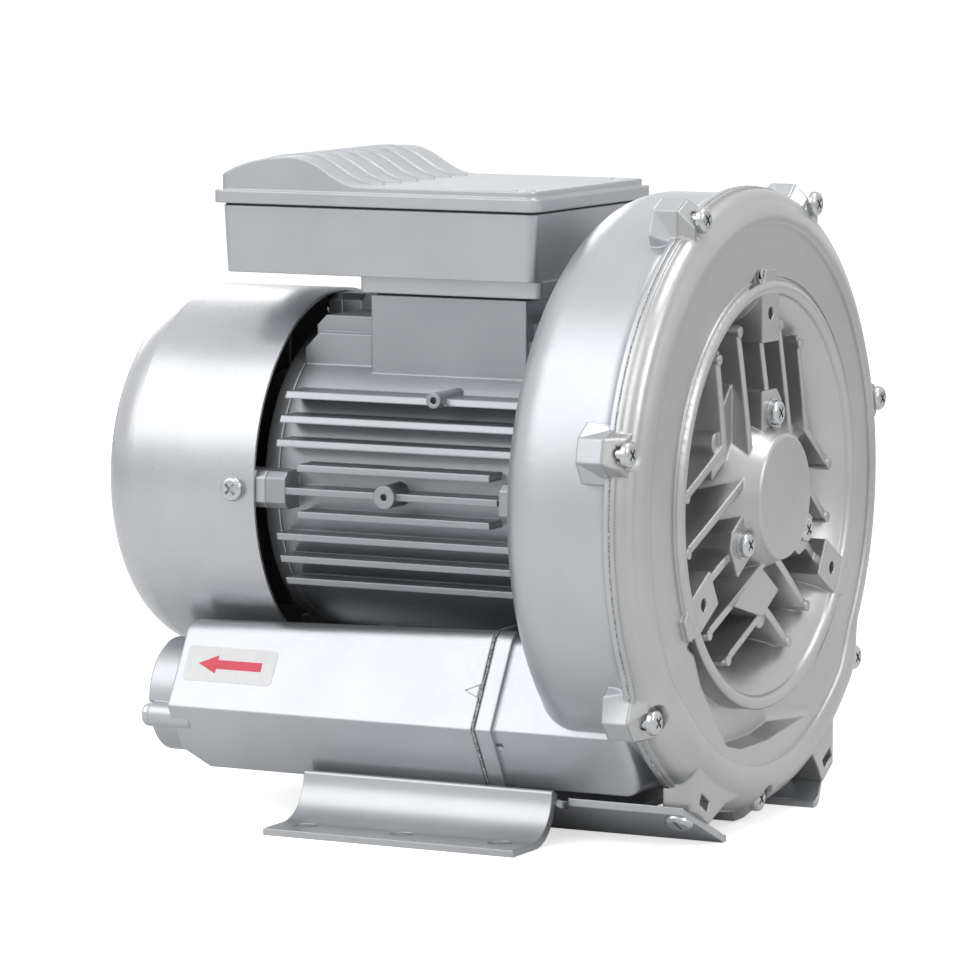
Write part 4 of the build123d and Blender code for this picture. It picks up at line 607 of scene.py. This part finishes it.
thin_sheet("flow_arrow", arrow, -1, FILM, FILM + INK, red_ink)
print("sticker at station", round((sticker_y - joint_y) / MM, 1), "mm from the joint")

# %% [markdown]
# ## A small cast mark
# Beside the flange a little triangle stands up from the casting; a fitter turns it towards the mark
# on the other half. It is a line of metal, not a plate, so we build three thin bars from one outline
# by bridging an outer triangle to an inner one.


# %% The cast triangle
MARK_LENGTH, MARK_HEIGHT, MARK_LINE, MARK_RISE = 6.0 * MM, 5.6 * MM, 0.35 * MM, 0.25 * MM
MARK_UP = 15.2 * MM


def cast_mark(name, side):
    """An open triangle, raised from the silencer's side, pointing away from the flange."""
    base = silencer_low.y + MARK_LINE
    corners = [(base, MARK_UP - MARK_HEIGHT / 2), (base + MARK_LENGTH, MARK_UP),
               (base, MARK_UP + MARK_HEIGHT / 2)]
    middle = Vector((sum(c[0] for c in corners) / 3, sum(c[1] for c in corners) / 3))
    inner = []
    for corner in corners:
        inward = middle - Vector(corner)
        inner.append(tuple(Vector(corner) + inward.normalized() * MARK_LINE * 2))
    mesh = bmesh.new()
    for here in range(3):
        after = (here + 1) % 3
        flat = (corners[here], corners[after], inner[after], inner[here])
        low = [mesh.verts.new(slope_place(side, a, u, -MARK_RISE)) for a, u in flat]
        high = [mesh.verts.new(slope_place(side, a, u, MARK_RISE)) for a, u in flat]
        mesh.faces.new(high)
        mesh.faces.new(list(reversed(low)))
        for edge in range(4):
            other = (edge + 1) % 4
            mesh.faces.new((low[edge], low[other], high[other], high[edge]))
    add_piece(name, mesh_data(name, mesh), casting)


for name, side in (("outlet_cast_mark", -1), ("inlet_cast_mark", 1)):
    cast_mark(name, side)
print("cast marks made")

# %% [markdown]
# ## Sealant that was squeezed out
# Where two castings are bolted together the sealant comes out as a thin, uneven line. It is what makes
# the joint look assembled and not cut. A bevelled curve is the natural tool: the path is the outline
# of the joint and the bead's thickness changes from point to point. `noise.noise` gives the same
# values at every run, so the bead never changes.


# %% The bead helper
def bead(name, points, radius, rough, material):
    """A closed bead along points: rough is how much its thickness changes."""
    curve = bpy.data.curves.new(name, "CURVE")
    curve.dimensions = "3D"
    curve.bevel_depth = radius
    curve.bevel_resolution = 2
    curve.use_fill_caps = False
    line = curve.splines.new("POLY")
    line.points.add(len(points) - 1)
    for index, (here, point) in enumerate(zip(line.points, points)):
        sway = noise.noise(Vector((index * 0.37, 0.2, 0.7)))
        swell = noise.noise(Vector((index * 0.61, 3.1, 1.9)))
        here.co = (*(point + Vector((0, sway * rough * radius, 0))), 1)
        here.radius = max(0.25, 0.8 + rough * swell)
    line.use_cyclic_u = True
    add_piece(name, curve, material)


def sealant(name, dark, light):
    """Cured sealant: mottled, and duller than the paint around it."""
    made = Finish(name, light, 0.25, 0.6)
    made.colour(made.ramp(made.grain(0.0012), dark, light, 0.42, 0.58))
    made.bump((made.grain(0.0007), 0.0002))
    return made.material


grey_sealant = sealant("grey_sealant", (0.22, 0.22, 0.225), (0.55, 0.55, 0.56))
print("bead helper ready")

# %% [markdown]
# The silencer's section has six corners, two of them with large rounds. We walk round it in even
# steps, rounding each corner with a short curve, and lay the bead on the gasket.

# %% Beads at the silencer joints
SILENCER_BEAD, CASING_BEAD = 0.62 * MM, 0.30 * MM
SHOULDER, CREASE = 3.85 * MM, 0.2 * MM
SECTION_TOP, SECTION_BOTTOM = 33.8 * MM, 24.4 * MM


def section_outline(side, y, step=1.6 * MM):
    """Points round the silencer's section: two slopes, a flat top with round shoulders, a flat bottom."""
    run = math.tan(side_slope)
    wide = silencer_half_width
    top, bottom = wide - SECTION_TOP / run, wide - SECTION_BOTTOM / run
    corners = [(-wide, 0), (-top, SECTION_TOP), (top, SECTION_TOP),
               (wide, 0), (bottom, -SECTION_BOTTOM), (-bottom, -SECTION_BOTTOM)]
    rounds = [CREASE, SHOULDER, SHOULDER, CREASE, CREASE, CREASE]
    path = []
    for index, corner in enumerate(corners):
        corner = Vector(corner)
        before = (Vector(corners[index - 1]) - corner).normalized()
        after = (Vector(corners[(index + 1) % len(corners)]) - corner).normalized()
        start, end = corner + before * rounds[index], corner + after * rounds[index]
        for part in (0.0, 0.25, 0.5, 0.75, 1.0):
            path.append(start.lerp(corner, part).lerp(corner.lerp(end, part), part))
    points = []
    for here, after in zip(path, path[1:] + path[:1]):
        count = max(1, int((after - here).length / step))
        for part in range(count):
            flat = here.lerp(after, part / count)
            points.append(Vector((side * port_x + flat.x, y, port_z + flat.y)))
    return points


for port, side in (("outlet", -1), ("inlet", 1)):
    low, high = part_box(port + "_gasket")
    around = section_outline(side, (low.y + high.y) / 2)
    bead(port + "_joint_bead", around, SILENCER_BEAD, 0.6, grey_sealant)
print("silencer beads made")

# %% [markdown]
# The casing joint is a ring, so its bead is a circle of short steps. It lies in the corner under the
# cover's lip, where the sealant would really stay, so its points move as the slimmed rim does.

# %% Bead at the casing joint
BEAD_STEPS, BEAD_AHEAD = 420, 0.1 * MM
ring_points = []
for step in range(BEAD_STEPS):
    turn = math.tau * step / BEAD_STEPS
    x, z = FLANGE_WAS * math.cos(turn), axis_z + FLANGE_WAS * math.sin(turn)
    ring_points.append(slim_cover(Vector((x, joint_y - BEAD_AHEAD, z))))
bead("casing_joint_bead", ring_points, CASING_BEAD, 0.9, grey_sealant)
print("casing bead made")

# %% [markdown]
# ## Pipe threads in the ports
# The ports are tapped for a one-inch pipe. The solid's bore is at the crest of the thread, so the
# turns of the thread are what we add: a helical ridge with a rounded profile along the bore. A screw
# modifier would do, but a helix written as a formula keeps the pitch exact.

# %% Thread in each port
THREAD_PITCH, THREAD_RADIUS, THREAD_DEPTH = 2.309 * MM, 15.15 * MM, 0.42 * MM
THREAD_LENGTH, THREAD_RECESS = 18.5 * MM, 1.0 * MM
POINTS_PER_TURN = 40


def port_thread(name, side):
    """A helical ridge on the wall of the port's bore."""
    end = silencer_high.y - THREAD_RECESS
    turns = THREAD_LENGTH / THREAD_PITCH
    curve = bpy.data.curves.new(name, "CURVE")
    curve.dimensions = "3D"
    curve.bevel_depth = THREAD_DEPTH
    curve.bevel_resolution = 1
    curve.use_fill_caps = True
    line = curve.splines.new("POLY")
    count = int(turns * POINTS_PER_TURN)
    line.points.add(count)
    for index, here in enumerate(line.points):
        turn = math.tau * index / POINTS_PER_TURN
        here.co = (side * port_x + THREAD_RADIUS * math.cos(turn),
                   end - THREAD_PITCH * index / POINTS_PER_TURN,
                   port_z + THREAD_RADIUS * math.sin(turn), 1)
    add_piece(name, curve, casting)


for name, side in (("outlet_port_thread", -1), ("inlet_port_thread", 1)):
    port_thread(name, side)
print("threads made")

# %% [markdown]
# ## Floor, light and camera
# Silver paint shows its surroundings more than its colour, so lighting is most of the look. A large
# soft lamp high on the left draws the long highlights on the casing and the cowl. A second, weaker one
# from the front keeps the cover's face readable. The world is white to the camera and to
# reflections, and dimmer as a source of light. Wide lamps are weaker per area than small ones of the
# same power, so the pale slopes of the silencers keep their tone and don't burn out.


# %% Lamps
def soft_lamp(name, place, aim, width, height, power):
    """A rectangular lamp at place that faces aim."""
    lamp = bpy.data.lights.new(name, "AREA")
    lamp.shape = "RECTANGLE"
    lamp.size, lamp.size_y, lamp.energy = width, height, power
    made = bpy.data.objects.new(name, lamp)
    made.location = place
    made.rotation_euler = (Vector(aim) - Vector(place)).to_track_quat("-Z", "Y").to_euler()
    bpy.context.scene.collection.objects.link(made)


machine_middle = (0.0, 0.02, 0.12)
soft_lamp("side_lamp", (-1.15, 0.80, 1.20), machine_middle, 1.7, 1.4, 11)
soft_lamp("front_lamp", (-0.5, -1.5, 1.1), machine_middle, 0.8, 0.8, 7)
soft_lamp("top_lamp", (0.1, -0.3, 1.6), machine_middle, 0.8, 0.8, 9)
soft_lamp("back_lamp", (1.2, 1.3, 0.9), machine_middle, 0.8, 0.8, 7)
print("lamps placed")

# %% [markdown]
# A camera ray, a mirrored ray and a ray through glass all see a white world. Every other ray gathers
# light, and gets a dimmer one. The floor is matt and gives a little light of its own, to camera rays
# only, so that it stays white around a soft shadow.

# %% World and floor
SEEN_STRENGTH, SKY_STRENGTH = 1.0, 0.42
FLOOR_SIZE, FLOOR_GLOW = 14.0, 0.62
world = bpy.data.worlds.new("studio")
bpy.context.scene.world = world
world.use_nodes = True
tree = world.node_tree


def white_light(shader, strength):
    """Make a background shader white, with a strength."""
    shader.inputs["Color"].default_value = (1, 1, 1, 1)
    shader.inputs["Strength"].default_value = strength
    return shader.outputs[0]


def larger(first, second):
    """The larger of two ray tests: true where either is."""
    made = tree.nodes.new("ShaderNodeMath")
    made.operation = "MAXIMUM"
    tree.links.new(first, made.inputs[0])
    tree.links.new(second, made.inputs[1])
    return made.outputs[0]


rays = tree.nodes.new("ShaderNodeLightPath").outputs
direct = larger(larger(rays["Is Camera Ray"], rays["Is Glossy Ray"]), rays["Is Transmission Ray"])
choose = tree.nodes.new("ShaderNodeMixShader")
tree.links.new(direct, choose.inputs[0])
tree.links.new(white_light(tree.nodes["Background"], SKY_STRENGTH), choose.inputs[1])
tree.links.new(white_light(tree.nodes.new("ShaderNodeBackground"), SEEN_STRENGTH), choose.inputs[2])
tree.links.new(choose.outputs[0], tree.nodes["World Output"].inputs["Surface"])


def floor_material():
    """White floor that keeps a soft shadow: a matt white, lifted by a little light of its own."""
    made = Finish("white_floor", (0.9, 0.9, 0.9), 0.0, 0.6)
    made.colour(made.ramp(made.grain(0.5), (0.89, 0.89, 0.89), (0.92, 0.92, 0.92)))
    own = made.tree.nodes.new("ShaderNodeLightPath")
    lift = made.node("ShaderNodeMath")
    lift.operation = "MULTIPLY"
    lift.inputs[1].default_value = FLOOR_GLOW
    made.link(own.outputs["Is Camera Ray"], lift.inputs[0])
    made.shader.inputs["Emission Color"].default_value = (1, 1, 1, 1)
    made.link(lift.outputs[0], made.shader.inputs["Emission Strength"])
    return made.material


floor_mesh = bmesh.new()
bmesh.ops.create_grid(floor_mesh, x_segments=1, y_segments=1, size=FLOOR_SIZE)
floor_data = bpy.data.meshes.new("floor")
floor_mesh.to_mesh(floor_data)
floor_mesh.free()
floor = bpy.data.objects.new("floor", floor_data)
floor.location.z = cad_box[0][2]
bpy.context.scene.collection.objects.link(floor)
floor_data.materials.append(floor_material())
print("world and floor made")

# %% [markdown]
# The camera stands low, in front of the ribbed cover and well to its left, with a long lens, so that
# circles stay nearly true ellipses and the box on top shows only a sliver of its lid.

# %% Camera
CAMERA_PLACE = (-1.8770, -0.9339, 0.3638)
CAMERA_TURN = math.radians(-63.19)
CAMERA_TILT = math.radians(6.54)
SENSOR_WIDTH, LENS = 36, 209.4
camera_data = bpy.data.cameras.new("camera")
camera_data.sensor_width, camera_data.lens = SENSOR_WIDTH, LENS
camera = bpy.data.objects.new("camera", camera_data)
camera.location = CAMERA_PLACE
camera.rotation_euler = (math.pi / 2 - CAMERA_TILT, 0, CAMERA_TURN)
bpy.context.scene.collection.objects.link(camera)
bpy.context.scene.camera = camera
bpy.context.scene.view_settings.view_transform = "Standard"
print("camera", [round(value, 3) for value in camera.location], "lens", camera_data.lens)
